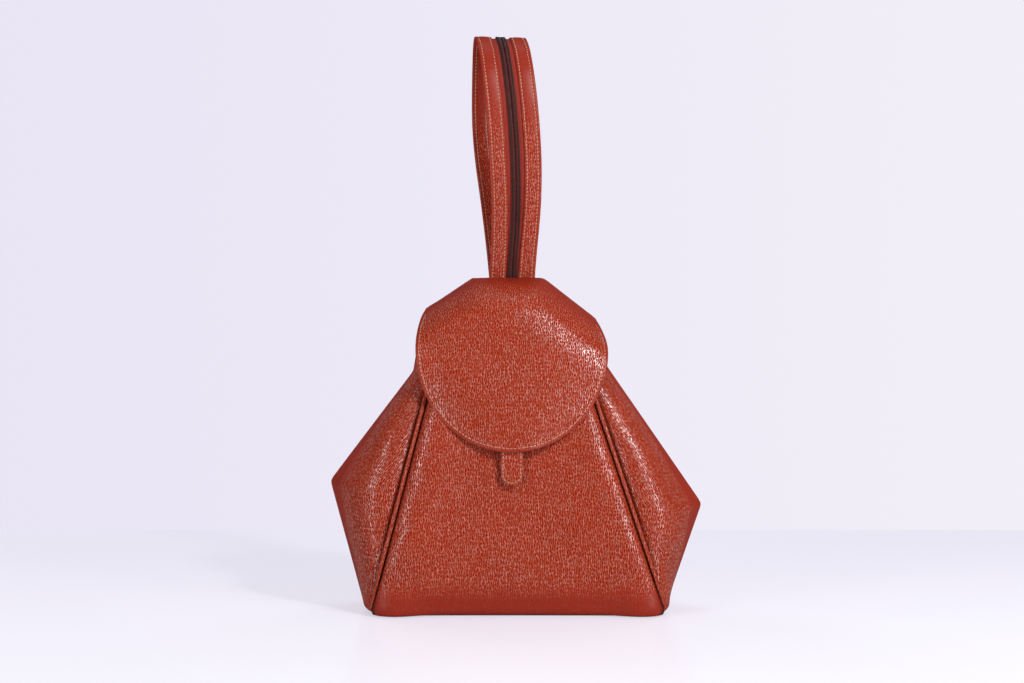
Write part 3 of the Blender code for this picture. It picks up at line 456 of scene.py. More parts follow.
def pebbled(name, tone, low_tone, size=2.5, depth=0.34, gloss=0.27, crease=0.97):
    """Grained leather: upright dimples at this pitch in millimetres, in a raised net whose pale colour is a
    painted highlight.
    """
    made, place = new_finish(name)
    flat, pulled, waxed = (
        place.node("Attribute", {"attribute_name": word}, {}, output)
        for word, output in (("flat", "Vector"), ("pulled", "Fac"), ("waxed", "Fac"))
    )
    drift = {0: place.speckle(0.16, output=1), 1: (2.6, 2.6, 0), 2: flat}
    wander = place.node("VectorMath", {"operation": "MULTIPLY_ADD"}, drift)
    drawn = place.node("VectorMath", {"operation": "MULTIPLY"}, {0: wander, 1: (1.25, 0.64, 0)})
    spread = {"Vector": drawn, "Scale": 1 / size, "Randomness": 0.8}
    edge = place.node("TexVoronoi", {"feature": "DISTANCE_TO_EDGE", "voronoi_dimensions": "2D"}, spread)
    centre = place.node("TexVoronoi", {"voronoi_dimensions": "2D"}, spread, "Position")
    away = place.node("VectorMath", {"operation": "SUBTRACT"}, {0: drawn, 1: centre})
    aside = place.node("SeparateXYZ", {}, {0: away})
    upright = place.maths("ABSOLUTE", aside).between(0.1 * size, 0.42 * size)
    fine = place.speckle(0.9)
    glint = place.speckle(0.4, 1).between(0.4, 0.66)
    grain = 1 - pulled * 0.93
    net = (1 - (edge + fine * 0.16 - 0.08).between(0.05, 0.36)) * (0.3 + upright * 0.9) * grain
    colour = (fine * 0.5 + place.speckle(0.022) * 0.5).between(0.25, 0.75).tint(low_tone, tone)
    # Where the grain is stretched flat the colour turns to a smooth tone with a paler cast, a painted sheen.
    colour = (pulled * 0.9).tint(colour, (tone[0] * 0.86 + 0.01, tone[1] + 0.011, tone[2] + 0.006, 1))
    # The net's pale colour, with its glints, is a painted highlight on the grain.
    painted_highlight = (0.17 + tone[0] * 1.2, 0.096 + tone[1] * 1.6, 0.038 + tone[2] * 2, 1)
    colour = (net * (0.3 + fine * 0.6 + glint * 0.5) * crease).tint(colour, painted_highlight)
    set_shader(
        made,
        {
            # Beside the seams the colour is painted near black: painted shade in the grooves by the piping.
            "Base Color": (waxed * 0.85).tint(colour, (0.02, 0.004, 0.003, 1)),
            "Roughness": 0.85 - net * (0.85 - gloss) - pulled * 0.15,
            "Normal": ((net + fine * 0.08) * grain).raised(depth),
            "Specular IOR Level": 0.04,
            "Coat Weight": net * (0.15 + glint * 0.85) * crease + pulled * 0.09,
            "Coat Roughness": gloss + 0.14,
            "Coat IOR": 2.8,
        },
    )
    return made


bag_leather = pebbled("bag_leather", tan, valley)
seam_near = [beside * MM for beside, _ in seam_roll]


def panel_columns(count):
    """A panel's columns: close together beside both seams, and this many from one seam to the other."""
    even = [(share, mix(seam_zone, -seam_zone, share) * MM) for share in np.linspace(0, 1, count)[1:-1]]
    return [(0, beside) for beside in seam_near] + even + [(1, -beside) for beside in reversed(seam_near)]


front_columns = panel_columns(84)


def front_radius(column):
    return mix(front_roll_radius, side_roll_radius, min(1, front_across(column, 0)) ** 4)


def painted_seam_shade_beside(distances):
    """How much shade is painted dark into the leather at these distances beside a seam."""
    return np.clip((4.4 - np.abs(distances) / MM) / 2.2, 0, 1)


def stretched_low(grid, low, reach):
    """Where a wall's leather is stretched over its roll at the base, up to these heights in millimetres."""
    return 1 - np.clip((grid[:, :, 2] / MM - low) / reach, 0, 1)


front_rows = wall_rows(
    front_at,
    front_columns,
    front_radius,
    lambda column, share: mix(flange_height + front_radius(column), front_height, share),
    np.linspace(0, 1, 96),
    lambda column: mix(2.8 * MM, corner_droop, corner_weight(front_across(column, 0))),
)
front_grid = soften(front_rows, 2)
add_sheet(
    "front_panel_leather",
    front_grid,
    wall_leather,
    bag_leather,
    ["front_panel"],
    pulled=stretched_low(front_grid, 16, 20),
    waxed=painted_seam_shade_beside([offset if share in (0, 1) else 1 for share, offset in front_columns]),
)

# The side walls: one piece of the same leather each, folded outward down its middle to a sharp wing
# They are sewn in beside the piping, and the right wing sits lower and reaches further out than the left
rim_below_shoulder = 12 * MM
shoulders = {-1: (88 * MM, 299 * MM), 1: (85 * MM, 289 * MM)}
top_flats = {-1: 37 * MM, 1: 32 * MM}
wing_tips = {-1: (182.4 * MM, 127 * MM), 1: (190.4 * MM, 104 * MM)}
wing_feet = {-1: 147 * MM, 1: 153 * MM}
wing_bend = (95 * MM, 241 * MM)
back_base_half_width = 141 * MM
ridge_bulge = 17.5 * MM
back_bulge = 5 * MM
wing_fullness = [(0, 0.1), (0.12, 0.3), (0.35, 0.95), (0.6, 1), (0.8, 0.6), (1, 0.2), (1.1, 0.2)]


def back_plane(z):
    return mix(back_reach, back_top_reach, z / back_height)


def back_seam(side, z):
    shoulder = shoulders[side]
    if z <= shoulder[1]:
        half_width = mix(back_base_half_width, shoulder[0], z / shoulder[1])
    else:
        half_width = mix(shoulder[0], top_flats[side], (z - shoulder[1]) / (back_height - shoulder[1]))
    return Vector((side * half_width, back_plane(z), z))


def rim_back(side):
    return shoulders[side][1] - rim_below_shoulder


def side_top(side, column):
    """The height of a side wall's top edge, which climbs from the front seam to the back one."""
    return mix(front_height, rim_back(side), (column[1] if column[0] == "front" else 2 - column[1]) / 2)


def fold_at(side, z):
    """The sharp fold that runs down the middle of a side wall."""
    ahead, behind = front_seam(side, front_height), back_seam(side, rim_back(side))
    top = ahead.lerp(behind, -ahead.y / (behind.y - ahead.y))
    heights = [0, wing_tips[side][1], wing_bend[1], top.z]
    widths = [wing_feet[side], wing_tips[side][0], wing_bend[0], side * top.x + 2 * MM]
    return Vector((side * float(np.interp(z, heights, widths)), 0, z))


def side_at(side, column, z):
    """A place on a side wall. A column has its half (front or back), a share of the way from that half's
    seam to the fold, and a distance on from there."""
    half, share, offset = column
    fold = fold_at(side, z)
    seam = front_seam(side, z) if half == "front" else back_seam(side, z)
    run = fold - seam
    run.z = 0
    reach = run.length
    run.normalize()
    beside = share * reach + offset
    along = min(1, max(0, (beside - seam_gap) / (reach - seam_gap)))
    lean = along**0.66 if half == "front" else along
    swell = (ridge_bulge if half == "front" else back_bulge) * math.sin(math.pi * lean)
    swell *= min(1, reach / base_half_width * 2) * follow(wing_fullness, z / front_height)
    away = Vector((side * abs(run.y), math.copysign(abs(run.x), seam.y), 0))
    point = seam + run * beside + away * swell
    groove = beside / (6 * MM) * math.exp(1 - beside / (6 * MM)) if half == "front" else 0
    point += inward(side, half) * (seam_sink(beside, z) + 2.6 * MM * groove * ease(z / (60 * MM)))
    ripple = pucker(beside, z, side * (3 if half == "front" else 7))
    soft = slack((point.x * 1.3, point.y, z), 38 * MM, 1.3 * MM) * ease(beside / (18 * MM))
    soft *= ease((1 - along) * 4)
    return point + away * (soft - ripple)


side_columns = [("front", 0, beside) for beside in seam_near]
side_columns += [("front", share, mix(seam_zone, 0, share) * MM) for share in np.linspace(0, 1, 34)[1:]]
side_columns += [("back", share, mix(seam_zone, 0, share) * MM) for share in np.linspace(1, 0, 30)[1:-1]]
side_columns += [("back", 0, beside) for beside in reversed(seam_near)]
side_shares = np.concatenate([np.linspace(0, 1, 40), np.linspace(1, 2, 38)[1:], np.linspace(2, 3, 16)[1:]])
# Towards the fold the side walls count as stretched flat, which takes off their painted highlight: painted shade
# where they turn from the light.
fold_zones = {"front": (0.56, 0.24), "back": (0.8, 0.2)}
near_fold = [ease((share - fold_zones[half][0]) / fold_zones[half][1]) for half, share, _ in side_columns]

for side, word in ((-1, "left"), (1, "right")):

    def side_height(column, share):
        levels = [roll_top, wing_tips[side][1], wing_bend[1], side_top(side, column)]
        return float(np.interp(share, [0, 1, 2, 3], levels))

    rows = wall_rows(
        lambda column, z: side_at(side, column, z),
        side_columns,
        lambda column: side_roll_radius,
        side_height,
        side_shares,
    )
    grid = soften(rows, 3)
    add_sheet(
        "side_wall_" + word,
        grid,
        wall_leather,
        bag_leather,
        ["gusset_" + word],
        facing=(side, 0, 0),
        pulled=np.maximum(stretched_low(grid, 4, 16), near_fold),
        waxed=painted_seam_shade_beside([offset if share == 0 else 1 for _, share, offset in side_columns]),
    )


# The piping: a thin cord wrapped in a strip of the same leather, whose edges are sewn into the seam
# It stands in each of the four upright seams and hides the stitches there
piping_radius = 2 * MM
piping_flange = 4.8 * MM


def swept(name, path, outs, section, look, replaced=(), sizes=1, pulled=None):
    """A body with the given cross-section, of across and out distances, carried along a path on the bag."""
    path = np.array(path)
    along = unit(np.gradient(path, axis=0))
    across = unit(np.cross(along, np.array(outs)))
    outs = np.cross(across, along)
    shape = np.array(section)[None] * np.broadcast_to(sizes, len(path))[:, None, None]
    points = path[:, None] + across[:, None] * shape[:, :, :1] + outs[:, None] * shape[:, :, 1:]
    faces = grid_faces(len(path), len(section), True, capped=True)
    if sum(a[0] * b[1] - b[0] * a[1] for a, b in zip(section, [*section[1:], section[0]])) < 0:
        faces = [face[::-1] for face in faces]
    piece = add_piece(name, points, faces, look, "bag", replaced)
    keep_values(piece, "flat", laid_flat(points))
    if pulled is not None:
        keep_values(piece, "pulled", np.ravel(pulled))


def arc(radius, turns):
    return [(radius * math.cos(turn), radius * math.sin(turn)) for turn in turns]


def round_section(radius, sides):
    return arc(radius, np.arange(sides) * 2 * math.pi / sides)


# The bead's tone is paler than the walls', which paints the highlight along its rounded top.
bead_leather = pebbled("bead_leather", (0.38, 0.034, 0.014, 1), (0.3, 0.02, 0.008, 1), 2.6, 0.12, 0.32, 0.55)
piped_section = arc(piping_radius, np.radians(np.linspace(-60, 240, 15)))
piped_section += [(-0.5 * MM, -piping_flange), (0.5 * MM, -piping_flange)]
for side, word in ((-1, "left"), (1, "right")):
    for half, seam_at, top in (("front", front_seam, front_height), ("back", back_seam, rim_back(side))):
        way = inward(side, half)
        foot = seam_at(side, roll_top)
        path = [turned_under(foot, side_roll_radius, math.radians(turn), 0) for turn in (40, 20)]
        path += [seam_at(side, z) for z in np.linspace(roll_top, top, 110)]
        sizes = [mix(0.55, 1, ease((point.z - 2 * MM) / (70 * MM))) for point in path]
        path = [point + way * (mix(1.9, 0.9, ease(point.z / (60 * MM))) * MM) for point in path]
        node = f"piping_{half}_{word}"
        swept(node + "_bead", path, [-way] * len(path), piped_section, bead_leather, [node], sizes)


# The back panel: a flat piece of the same leather, with a level top edge between two sloping shoulders
# The flap and both ends of the strap are sewn to it, and its side seams are piped as the front ones are
def back_at(column, z):
    point, beside, side, _ = between_seams(back_seam, column, z)
    upper = ease((rim_back(side) + 7 * MM - z) / (7 * MM))
    point += inward(side, "back") * seam_sink(beside, z) * upper
    point.y -= pucker(beside, z, side * 5) * upper
    return point


def back_top(column):
    """The back panel's top edge: level between the two sloping shoulders."""
    width = back_seam(1, shoulders[1][1]).x - back_seam(-1, shoulders[-1][1]).x
    x = -shoulders[-1][0] + column[0] * width + column[1]
    side = -1 if x < 0 else 1
    fall = (abs(x) - top_flats[side]) / (shoulders[side][0] - top_flats[side])
    return mix(back_height, shoulders[side][1], min(1, max(0, fall)))


def back_place(column, z):
    """Upright columns above the shoulders, so that the sloping edges are cut straight."""
    side_low = shoulders[1 if column[0] > 0.5 else -1][1]
    point = back_at(column, min(z, side_low))
    if z > side_low:
        point.y += back_plane(z) - back_plane(side_low)
        point.z = z
    return point


back_rows = wall_rows(
    back_place,
    panel_columns(50),
    lambda column: side_roll_radius,
    lambda column, share: mix(roll_top, back_top(column), share),
    np.linspace(0, 1, 90),
)
back_grid = soften(back_rows, 1)
add_sheet(
    "back_panel_leather",
    back_grid,
    wall_leather,
    bag_leather,
    ["back_panel"],
    facing=(0, 1, 0),
    pulled=stretched_low(back_grid, 4, 14),
)


# The base: a thick leather sole, whose edge shows as a dark line under the front
# It is sewn over the turned-under walls, and a fibre board inside stiffens it
def ring_at(share, count=1):
    """The walls' outline at a share of their height, in order round the bag."""
    front_z = mix(roll_top, front_height, share)
    points = [front_at((place, 0), front_z) for place in np.linspace(0.02, 0.98, 5 * count)]
    for side, order in ((1, 1), (-1, -1)):
        if side < 0:
            for place in np.linspace(0.97, 0.03, 3 * count):
                top = mix(rim_back(-1), rim_back(1), place)
                points.append(back_at((place, 0), mix(roll_top, top, share)))
        walk = [("front", place, 0) for place in np.linspace(0.1, 1, 4 * count)]
        walk += [("back", place, 0) for place in np.linspace(1, 0.1, 3 * count)[1:]]
        for column in walk[::order]:
            points.append(side_at(side, column, mix(roll_top, side_top(side, column), share)))
    return np.array([tuple(point) for point in points])


def drawn_in(points, distance):
    """The same ring, drawn in by this distance."""
    runs = (points - np.roll(points, 1, 0), np.roll(points, -1, 0) - points)
    before, after = (unit(np.stack([-run[:, 1], run[:, 0]], 1)) for run in runs)
    moved = points.copy()
    moved[:, :2] += (before + after) * (distance / (1 + np.maximum(-0.5, (before * after).sum(1))))[:, None]
    return moved


def marks_of(points):
    """How far along a line each of its places is."""
    return np.concatenate([[0], np.cumsum(np.linalg.norm(np.diff(points, axis=0), axis=1))])


def at_marks(wanted, marks, values):
    """The values at the wanted distances along a line, from those at its marks."""
    return np.stack([np.interp(wanted, marks, values[:, axis]) for axis in range(3)], 1)


def lay_evenly(points, count, ring=False):
    """The same line, with this many places at even distances along it."""
    points = np.array(points, float)
    if ring:
        points = np.vstack([points, points[:1]])
    marks = marks_of(points)
    return at_marks(np.linspace(0, marks[-1], count, endpoint=not ring), marks, points)


sole_leather = pebbled("sole_leather", (0.24, 0.018, 0.006, 1), valley, 3, 0.2, 0.4, 0.4)
sole_places = 160
sole_edge = lay_evenly(drawn_in(ring_at(0), 9.5 * MM), sole_places, True)
sole_profile = [(60, 2.2), (8, 2.3), (0.6, 2.3), (0, 1.9), (0, 0.6), (0.5, 0.12), (3, 0.1), (3.6, 0.45)]
sole_profile += [(4.2, 0.1), (9, 0), (60, 0)]
sole_grid = np.zeros((len(sole_profile), sole_places, 3))
for row, (inset, height) in enumerate(sole_profile):
    sole_grid[row] = sole_edge * (1 - inset / 150) if inset > 9 else drawn_in(sole_edge, inset * MM)
    sole_grid[row, :, 2] = height * MM
faces = [face[::-1] for face in grid_faces(len(sole_grid), sole_places, True, capped=True)]
sole = add_piece("base_sole", sole_grid, faces, sole_leather, "bag", ["base_panel"])
keep_values(sole, "flat", sole_grid.reshape(-1, 3) / MM)
fibreboard, place = new_finish("fibreboard")
board_tone = place.speckle(1.4, 4).tint((0.2, 0.14, 0.09, 1), (0.38, 0.29, 0.2, 1))
set_shader(fibreboard, {"Base Color": board_tone, "Roughness": 0.9})
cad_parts["base_board"].material_slots[0].material = fibreboard


# The lining: a brown cotton bag, cut as one folded piece, which hangs loose inside
# It hangs from a leather facing that is sewn round the inside of the mouth
def woven(name, tone, low_tone, pitch, depth, rough=0.85):
    """Plain-woven cloth with this thread pitch in millimetres."""
    made, place = new_finish(name)
    weave = {"Vector": place, "Scale": 0.314 / pitch, "Distortion": 0.4}
    warp, weft = (place.node("TexWave", {"bands_direction": way}, weave) for way in "XZ")
    thread = warp * weft
    colour = (thread * 0.6 + place.speckle(0.09, 3) * 0.55).tint(low_tone, tone)
    set_shader(made, {"Base Color": colour, "Roughness": rough, "Normal": thread.raised(depth, 0.8)})
    return made


lining_cloth = woven("cotton_drill", (0.16, 0.085, 0.055, 1), (0.07, 0.035, 0.022, 1), 0.7, 0.12)
facing_depth = 26 * MM
lining_low = 7.4 * MM
lining_count = 150
lining_top = 1 - (facing_depth - 6 * MM) / front_height
lining_rows = []
for step, share in enumerate([0, 0, *np.linspace(0.02, lining_top, 60)]):
    row = lay_evenly(drawn_in(ring_at(share), (11 if step < 2 else 6.3) * MM), lining_count, True)
    if step < 2:
        row[:, 2] = lining_low
        row[:, :2] *= 0.5 if step == 0 else 1
    for point in row:
        fold = noise.noise(Vector((point[0] * 26, point[1] * 26, point[2] * 9))) * 1.6 + 0.6
        to_middle = -Vector((point[0], point[1], 0)).normalized()
        point += np.array(to_middle * max(0, fold) * MM * (ease(share * 6) if step > 1 else 0))
    lining_rows.append(row)
lining_grid = np.array(lining_rows)[::-1]
lining_middle = (0, 0, lining_low)
lining_piece = add_sheet(
    "lining_bag", lining_grid, 0.5 * MM, lining_cloth, ["lining"], ring=True, middle=lining_middle
)
facing_shares = np.linspace(1 - facing_depth / front_height, 1, 14)
facing_grid = np.array([drawn_in(ring_at(share, 3), 2.6 * MM) for share in facing_shares])
smooth_leather = pebbled("smooth_leather", (0.32, 0.02, 0.006, 1), valley, 2.6, 0.16, 0.4, 0.6)
add_sheet("mouth_facing_leather", facing_grid, 1.1 * MM, smooth_leather, ["mouth_facing"], ring=True)

# The flap: a face of grained leather over a lining, flesh side down, sewn together round the free edge
# It is sewn to the back panel's sloping top edge, rolls forward over the mouth and hangs down in front
flap_leather = 1.7 * MM
flap_half_width = 94.5 * MM
flap_widest_height = 262 * MM
flap_tip_height = 159 * MM
flap_upper_axis = 98 * MM
flap_edge_reach = 19.6 * MM
flap_roll_height = 28 * MM
flap_crown = 17 * MM
flap_crown_reach = 48 * MM
flap_middle = Vector((0, 0, 236.25 * MM))
strap_half_width = 23.5 * MM
flap_points = 260
stitch_distance = 3.6


def shoulder_run(side, steps):
    """The flap's free edge between its widest place and a shoulder."""
    first = math.asin((shoulders[side][1] - flap_widest_height) / flap_upper_axis)
    fit = (shoulders[side][0] / flap_half_width) / math.cos(first)
    points = []
    for step in steps[1:-1]:
        angle = first * step
        x = side * flap_half_width * math.cos(angle) * mix(1, fit, angle / first)
        points.append((x, 0, flap_widest_height + flap_upper_axis * math.sin(angle)))
    return points


def flap_outline():
    """The flap's outline in front view, from the left shoulder over the top and round the free edge."""
    points = [(-shoulders[-1][0], 0, shoulders[-1][1]), (-top_flats[-1], 0, back_height)]
    points += [(top_flats[1], 0, back_height), (shoulders[1][0], 0, shoulders[1][1])]
    points += shoulder_run(1, np.linspace(1, 0, 9))
    for turn in np.linspace(0, math.pi, 61):
        drop = (flap_widest_height - flap_tip_height) * abs(math.sin(turn)) ** 0.95
        points.append((flap_half_width * math.cos(turn), 0, flap_widest_height - drop))
    return points + shoulder_run(-1, np.linspace(0, 1, 9))


def sewn_distance(x, z):
    """How far inside the flap's sewn edges a place is, in front view."""
    distances = [back_height - z]
    for side in (-1, 1):
        flat, shoulder = top_flats[side], shoulders[side]
        run = Vector((shoulder[0] - flat, shoulder[1] - back_height)).normalized()
        distances.append((side * x - flat) * run.y - (z - back_height) * run.x)
    if min(distances) <= 1e-9:
        return 0
    return sum(distance**-4 for distance in distances) ** -0.25


def flap_depth(x, z):
    """The flap's outer face: it rolls forward from its sewn edge and then hangs down in front."""
    ahead = mix(50, 72, (front_height - z) / (front_height - flap_tip_height)) * MM
    ahead -= 6 * MM * (x / flap_half_width) ** 2
    inside = sewn_distance(x, z)
    rolled = min(1, inside / flap_roll_height)
    turned = math.sqrt(1 - (1 - rolled) ** 2)
    crown = flap_crown * max(0, 1 - inside / flap_crown_reach) ** 2 * turned
    beside_strap = ease((abs(x) - strap_half_width) / (12 * MM))
    edge = mix(flap_edge_reach, back_plane(z) - 2.1 * MM, beside_strap)
    return mix(edge, -ahead, turned) + crown


def evened(values, times):
    """The same values round a ring, evened out between neighbours."""
    for _ in range(times):
        values = values / 2 + (np.roll(values, 1, 0) + np.roll(values, -1, 0)) / 4
    return values


outline = evened(lay_evenly(flap_outline(), flap_points, True), 9)
outline[:, 2] = np.minimum(outline[:, 2], back_height - 0.2 * MM)
tangents = unit(np.roll(outline, -1, 0) - np.roll(outline, 1, 0))
to_middle = np.array(flap_middle) - outline
reach = evened(np.abs(tangents[:, 0] * to_middle[:, 2] - tangents[:, 2] * to_middle[:, 0]), 30)
free = np.array([sewn_distance(x, z) > 1.2 * MM for x, _, z in outline])
ring_distances = [0, 0.25, 0.7, 1.4, 2.4, 3.1, stitch_distance, 4.1, 4.8, 6, 8, 10.5, 14, 18, 22, 26, 30, 34]
edge_dips = [0.75, 0.35, 0.08, 0, 0.02, 0.16, 0.34, 0.16, 0.02]
shares = np.stack([distance * MM / reach for distance in ring_distances])
shares = np.vstack([shares, [mix(shares[-1], 1, step) for step in np.linspace(0, 1, 24)[1:-1]]])
row_distances = ring_distances + [40] * (len(shares) - len(ring_distances))
dips = np.array(edge_dips + [0] * (len(shares) - len(edge_dips)))
flap_grid = outline + to_middle * shares[:, :, None]
flap_grid[:, :, 1] = [[flap_depth(x, z) for x, _, z in row] for row in flap_grid]
flap_out = normals_of(flap_grid, True)
if flap_out[-3, 5][1] > 0:
    flap_out = -flap_out
hang, pulled = np.zeros((2, len(shares), flap_points))
for row, distance in enumerate(row_distances):
    for column in range(flap_points):
        x, _, z = flap_grid[row, column]
        inside = sewn_distance(x, z)
        soft = noise.noise(Vector((x / 0.055 + 3, z / 0.055, 0))) * 1.5
        soft += noise.noise(Vector((x / 0.026, z / 0.03, 4))) * 0.35
        curl = 3.2 * math.exp(-((distance / 12) ** 2)) * ease((abs(x) / MM - 16) / 20)
        curl *= ease((240 - z / MM) / 40)
        hang[row, column] = soft * ease(inside / (40 * MM)) - curl
        pulled[row, column] = math.exp(-((inside / MM / mix(8, 13, ease(0.5 + x / flap_half_width))) ** 3))
flap_face = flap_grid + flap_out * ((hang - dips[:, None] * free[None]) * MM)[:, :, None]
add_sheet(
    "flap_leather",
    flap_face,
    flap_leather,
    bag_leather,
    ["flap_outer"],
    "flap",
    ring=True,
    middle=flap_face[-1].mean(0),
    pulled=np.maximum(pulled, np.interp(row_distances, [0, 2.2, 3.3], [0.85, 0.85, 0])[:, None]),
)
suede, place = new_finish("flesh_side")
fluff = place.speckle(0.9, 5, roughness=0.7)
brushed = fluff * 0.5 + place.speckle(0.035, 3) * 0.6
suede_tone = brushed.tint((0.22, 0.07, 0.035, 1), (0.42, 0.16, 0.085, 1))
suede_look = {"Roughness": 0.92, "Normal": fluff.raised(0.2, 0.6), "Sheen Weight": 0.25}
set_shader(suede, {"Base Color": suede_tone, **suede_look})
under_depth = 1.85 * MM
under_face = flap_grid + flap_out * (hang * MM - under_depth)[:, :, None]
under_middle = under_face[-1].mean(0)
add_sheet(
    "flap_underside", under_face, 0.95 * MM, suede, ["flap_lining"], "flap", ring=True, middle=under_middle
)

# The topstitching: waxed cream thread in rows of lockstitches, on the flap, the closing tab and the strap
# Each stitch is a short rounded thread whose ends are drawn down into the leather
cream_thread, place = new_finish("cream_thread")
plies = {"Vector": place, "Scale": 1.1, "Distortion": 1}
twist = place.node("TexWave", {"bands_direction": "DIAGONAL"}, plies)
thread_tone = (twist * 0.5 + place.speckle(0.3) * 0.5).tint((0.52, 0.3, 0.18, 1), (0.78, 0.58, 0.42, 1))
set_shader(cream_thread, {"Base Color": thread_tone, "Roughness": 0.55})
thread_width = 0.76 * MM
stitch_lift = 0.1 * MM
stitch_slant = 0.14
stitch_stations = (-1, -0.8, -0.35, 0.35, 0.8, 1)
stitch_sides = 6


def squared(vectors, along):
    """The same directions, turned square to the way along."""
    return unit(vectors - along * (vectors * along).sum(1)[:, None])


def stitch_row(name, path, outs, body, pitch=3.6 * MM, length=2.9 * MM):
    """A row of stitches along a path, with the way out of the leather at each of its places."""
    path, outs = np.array(path, float), np.array(outs, float)
    marks = marks_of(path)
    count = int(marks[-1] / pitch)
    spots = (np.arange(count) + 0.5) * marks[-1] / count
    centre = at_marks(spots, marks, path)[:, None]
    along = unit(at_marks(spots + pitch / 4, marks, path) - at_marks(spots - pitch / 4, marks, path))
    out = squared(at_marks(spots, marks, outs), along)
    across = np.cross(along, out)
    along = along + across * stitch_slant
    places = []
    for where in stitch_stations:
        thick = thread_width / 2 * (1 - 0.45 * abs(where) ** 3)
        height = stitch_lift - 0.75 * thread_width * abs(where) ** 4
        places += [(where * length / 2, x, height + y * 0.8) for x, y in round_section(thick, stitch_sides)]
    ahead, aside, up = np.array(places).T[:, :, None]
    points = centre + along[:, None] * ahead + across[:, None] * aside + out[:, None] * up
    faces = []
    for start in range(0, count * len(places), len(places)):
        faces += grid_faces(len(stitch_stations), stitch_sides, True, start, capped=True)
    add_piece(name, points, [face[::-1] for face in faces], cream_thread, body)


def beside_shoulder(side):
    """Which place of the flap's outline is nearest to a shoulder."""
    away = outline - np.array([side * shoulders[side][0], 0, shoulders[side][1]])
    return int(np.argmin(np.linalg.norm(away, axis=1)))


first_place = beside_shoulder(1) + 2
last_step = (beside_shoulder(-1) - first_place) % flap_points - 2
sewn_places = [(first_place + step) % flap_points for step in range(last_step + 1)]
sewn_ring = ring_distances.index(stitch_distance)
flap_line, flap_ways = flap_face[sewn_ring, sewn_places], flap_out[sewn_ring, sewn_places]
flap_pitch = 3.8 * MM
flap_stitch_length = 3.1 * MM
stitch_row("flap_stitches", flap_line, flap_ways, "flap", flap_pitch, flap_stitch_length)

# The closing tab: a narrow strip of doubled leather, which is sewn under the flap and closes over the front
# The stud of a magnetic snap sits on its inner side, and its two lower corners are cut off
tab_half_width = 11 * MM
tab_top = 187 * MM
tab_tip = 127 * MM
snap_height = 139 * MM
snap_radius = 9 * MM


def front_face(z):
    """The front panel's plain face at the middle, which the snap sits on."""
    crown = front_crown * min(1, z / corner_puff_height)
    return -front_reach * follow(front_profile, z / front_height) - crown


snap_rise = front_face(snap_height + snap_radius) - front_face(snap_height - snap_radius)
climb = Vector((0, snap_rise, 2 * snap_radius)).normalized()
snap_out = Vector((0, -climb.z, climb.y))
stud_base = Vector((0, front_face(snap_height), snap_height)) + snap_out * 4.6 * MM


def tab_depth(z):
    under_flap = flap_depth(0, z) + 3.6 * MM
    closing = ease((flap_tip_height - z) / (flap_tip_height - snap_height - snap_radius))
    over_snap = stud_base.y + (z - stud_base.z) * climb.y / climb.z - 3.2 * MM / climb.z
    return mix(under_flap, over_snap, closing)


def tab_half_at(z):
    """The tab's half width, which its two cut corners narrow at the tip."""
    rise = (z - tab_tip) / (8 * MM)
    return tab_half_width - (tab_half_width - 4.6 * MM) * max(0, 1 - rise) ** 1.15


tab_edge_heights = tab_tip + np.array([0, 0.25, 0.7, 1.4, 2.2, 2.6, 3.2, 4.2, 5.5, 7, 9]) * MM
tab_heights = np.concatenate([tab_edge_heights, np.linspace(tab_tip + 11 * MM, tab_top, 26)])
tab_steps = [0.25, 0.5, 0.68, 0.74, 0.765, 0.79, 0.86, 0.93, 0.975, 1]
tab_offsets = [-step for step in reversed(tab_steps)] + [0] + tab_steps


def tab_layer(name, setback, thickness, look, replaced, stitched):
    grid = []
    for z in tab_heights:
        row = []
        for offset in tab_offsets:
            x = offset * tab_half_at(z)
            edge = min(tab_half_at(z) - abs(x), (z - tab_tip) * 0.9)
            groove = 0.28 * math.exp(-(((edge / MM - 2.5) / 0.55) ** 2)) if stitched else 0
            rounding = 0.55 * max(0, 1 - edge / (0.9 * MM)) ** 2
            crown = 0.35 * (1 - offset**2)
            row.append((x, tab_depth(z) + setback + (groove + rounding - crown) * MM, z))
        grid.append(row)
    add_sheet(name, np.array(grid), thickness, look, replaced, "flap")


tab_leather = pebbled("tab_leather", tan, valley, 2.5, 0.32)
tab_layer("tab_face", 0.3 * MM, 1.3 * MM, tab_leather, ["tab_outer"], True)
tab_layer("tab_underside", 1.75 * MM, 1.0 * MM, smooth_leather, ["tab_lining"], False)
tab_sewn_inset = 2.5 * MM
tab_thread_depth = 0.1 * MM
down = np.linspace(tab_top - 2 * MM, tab_tip + 5 * MM, 40)
left_run = [(-(tab_half_at(z) - tab_sewn_inset), tab_depth(z) + tab_thread_depth, z) for z in down]
tip_run = []
for turn in np.linspace(0, 1, 12)[1:-1]:
    z = tab_tip + tab_sewn_inset + 2.5 * MM * abs(2 * turn - 1) ** 1.8
    tip_run.append((mix(left_run[-1][0], -left_run[-1][0], turn), tab_depth(z) + tab_thread_depth, z))
tab_path = lay_evenly(left_run + tip_run + [(-x, y, z) for x, y, z in reversed(left_run)], 120)
stitch_row("tab_stitches", tab_path, [(0, -1, 0)] * len(tab_path), "flap")

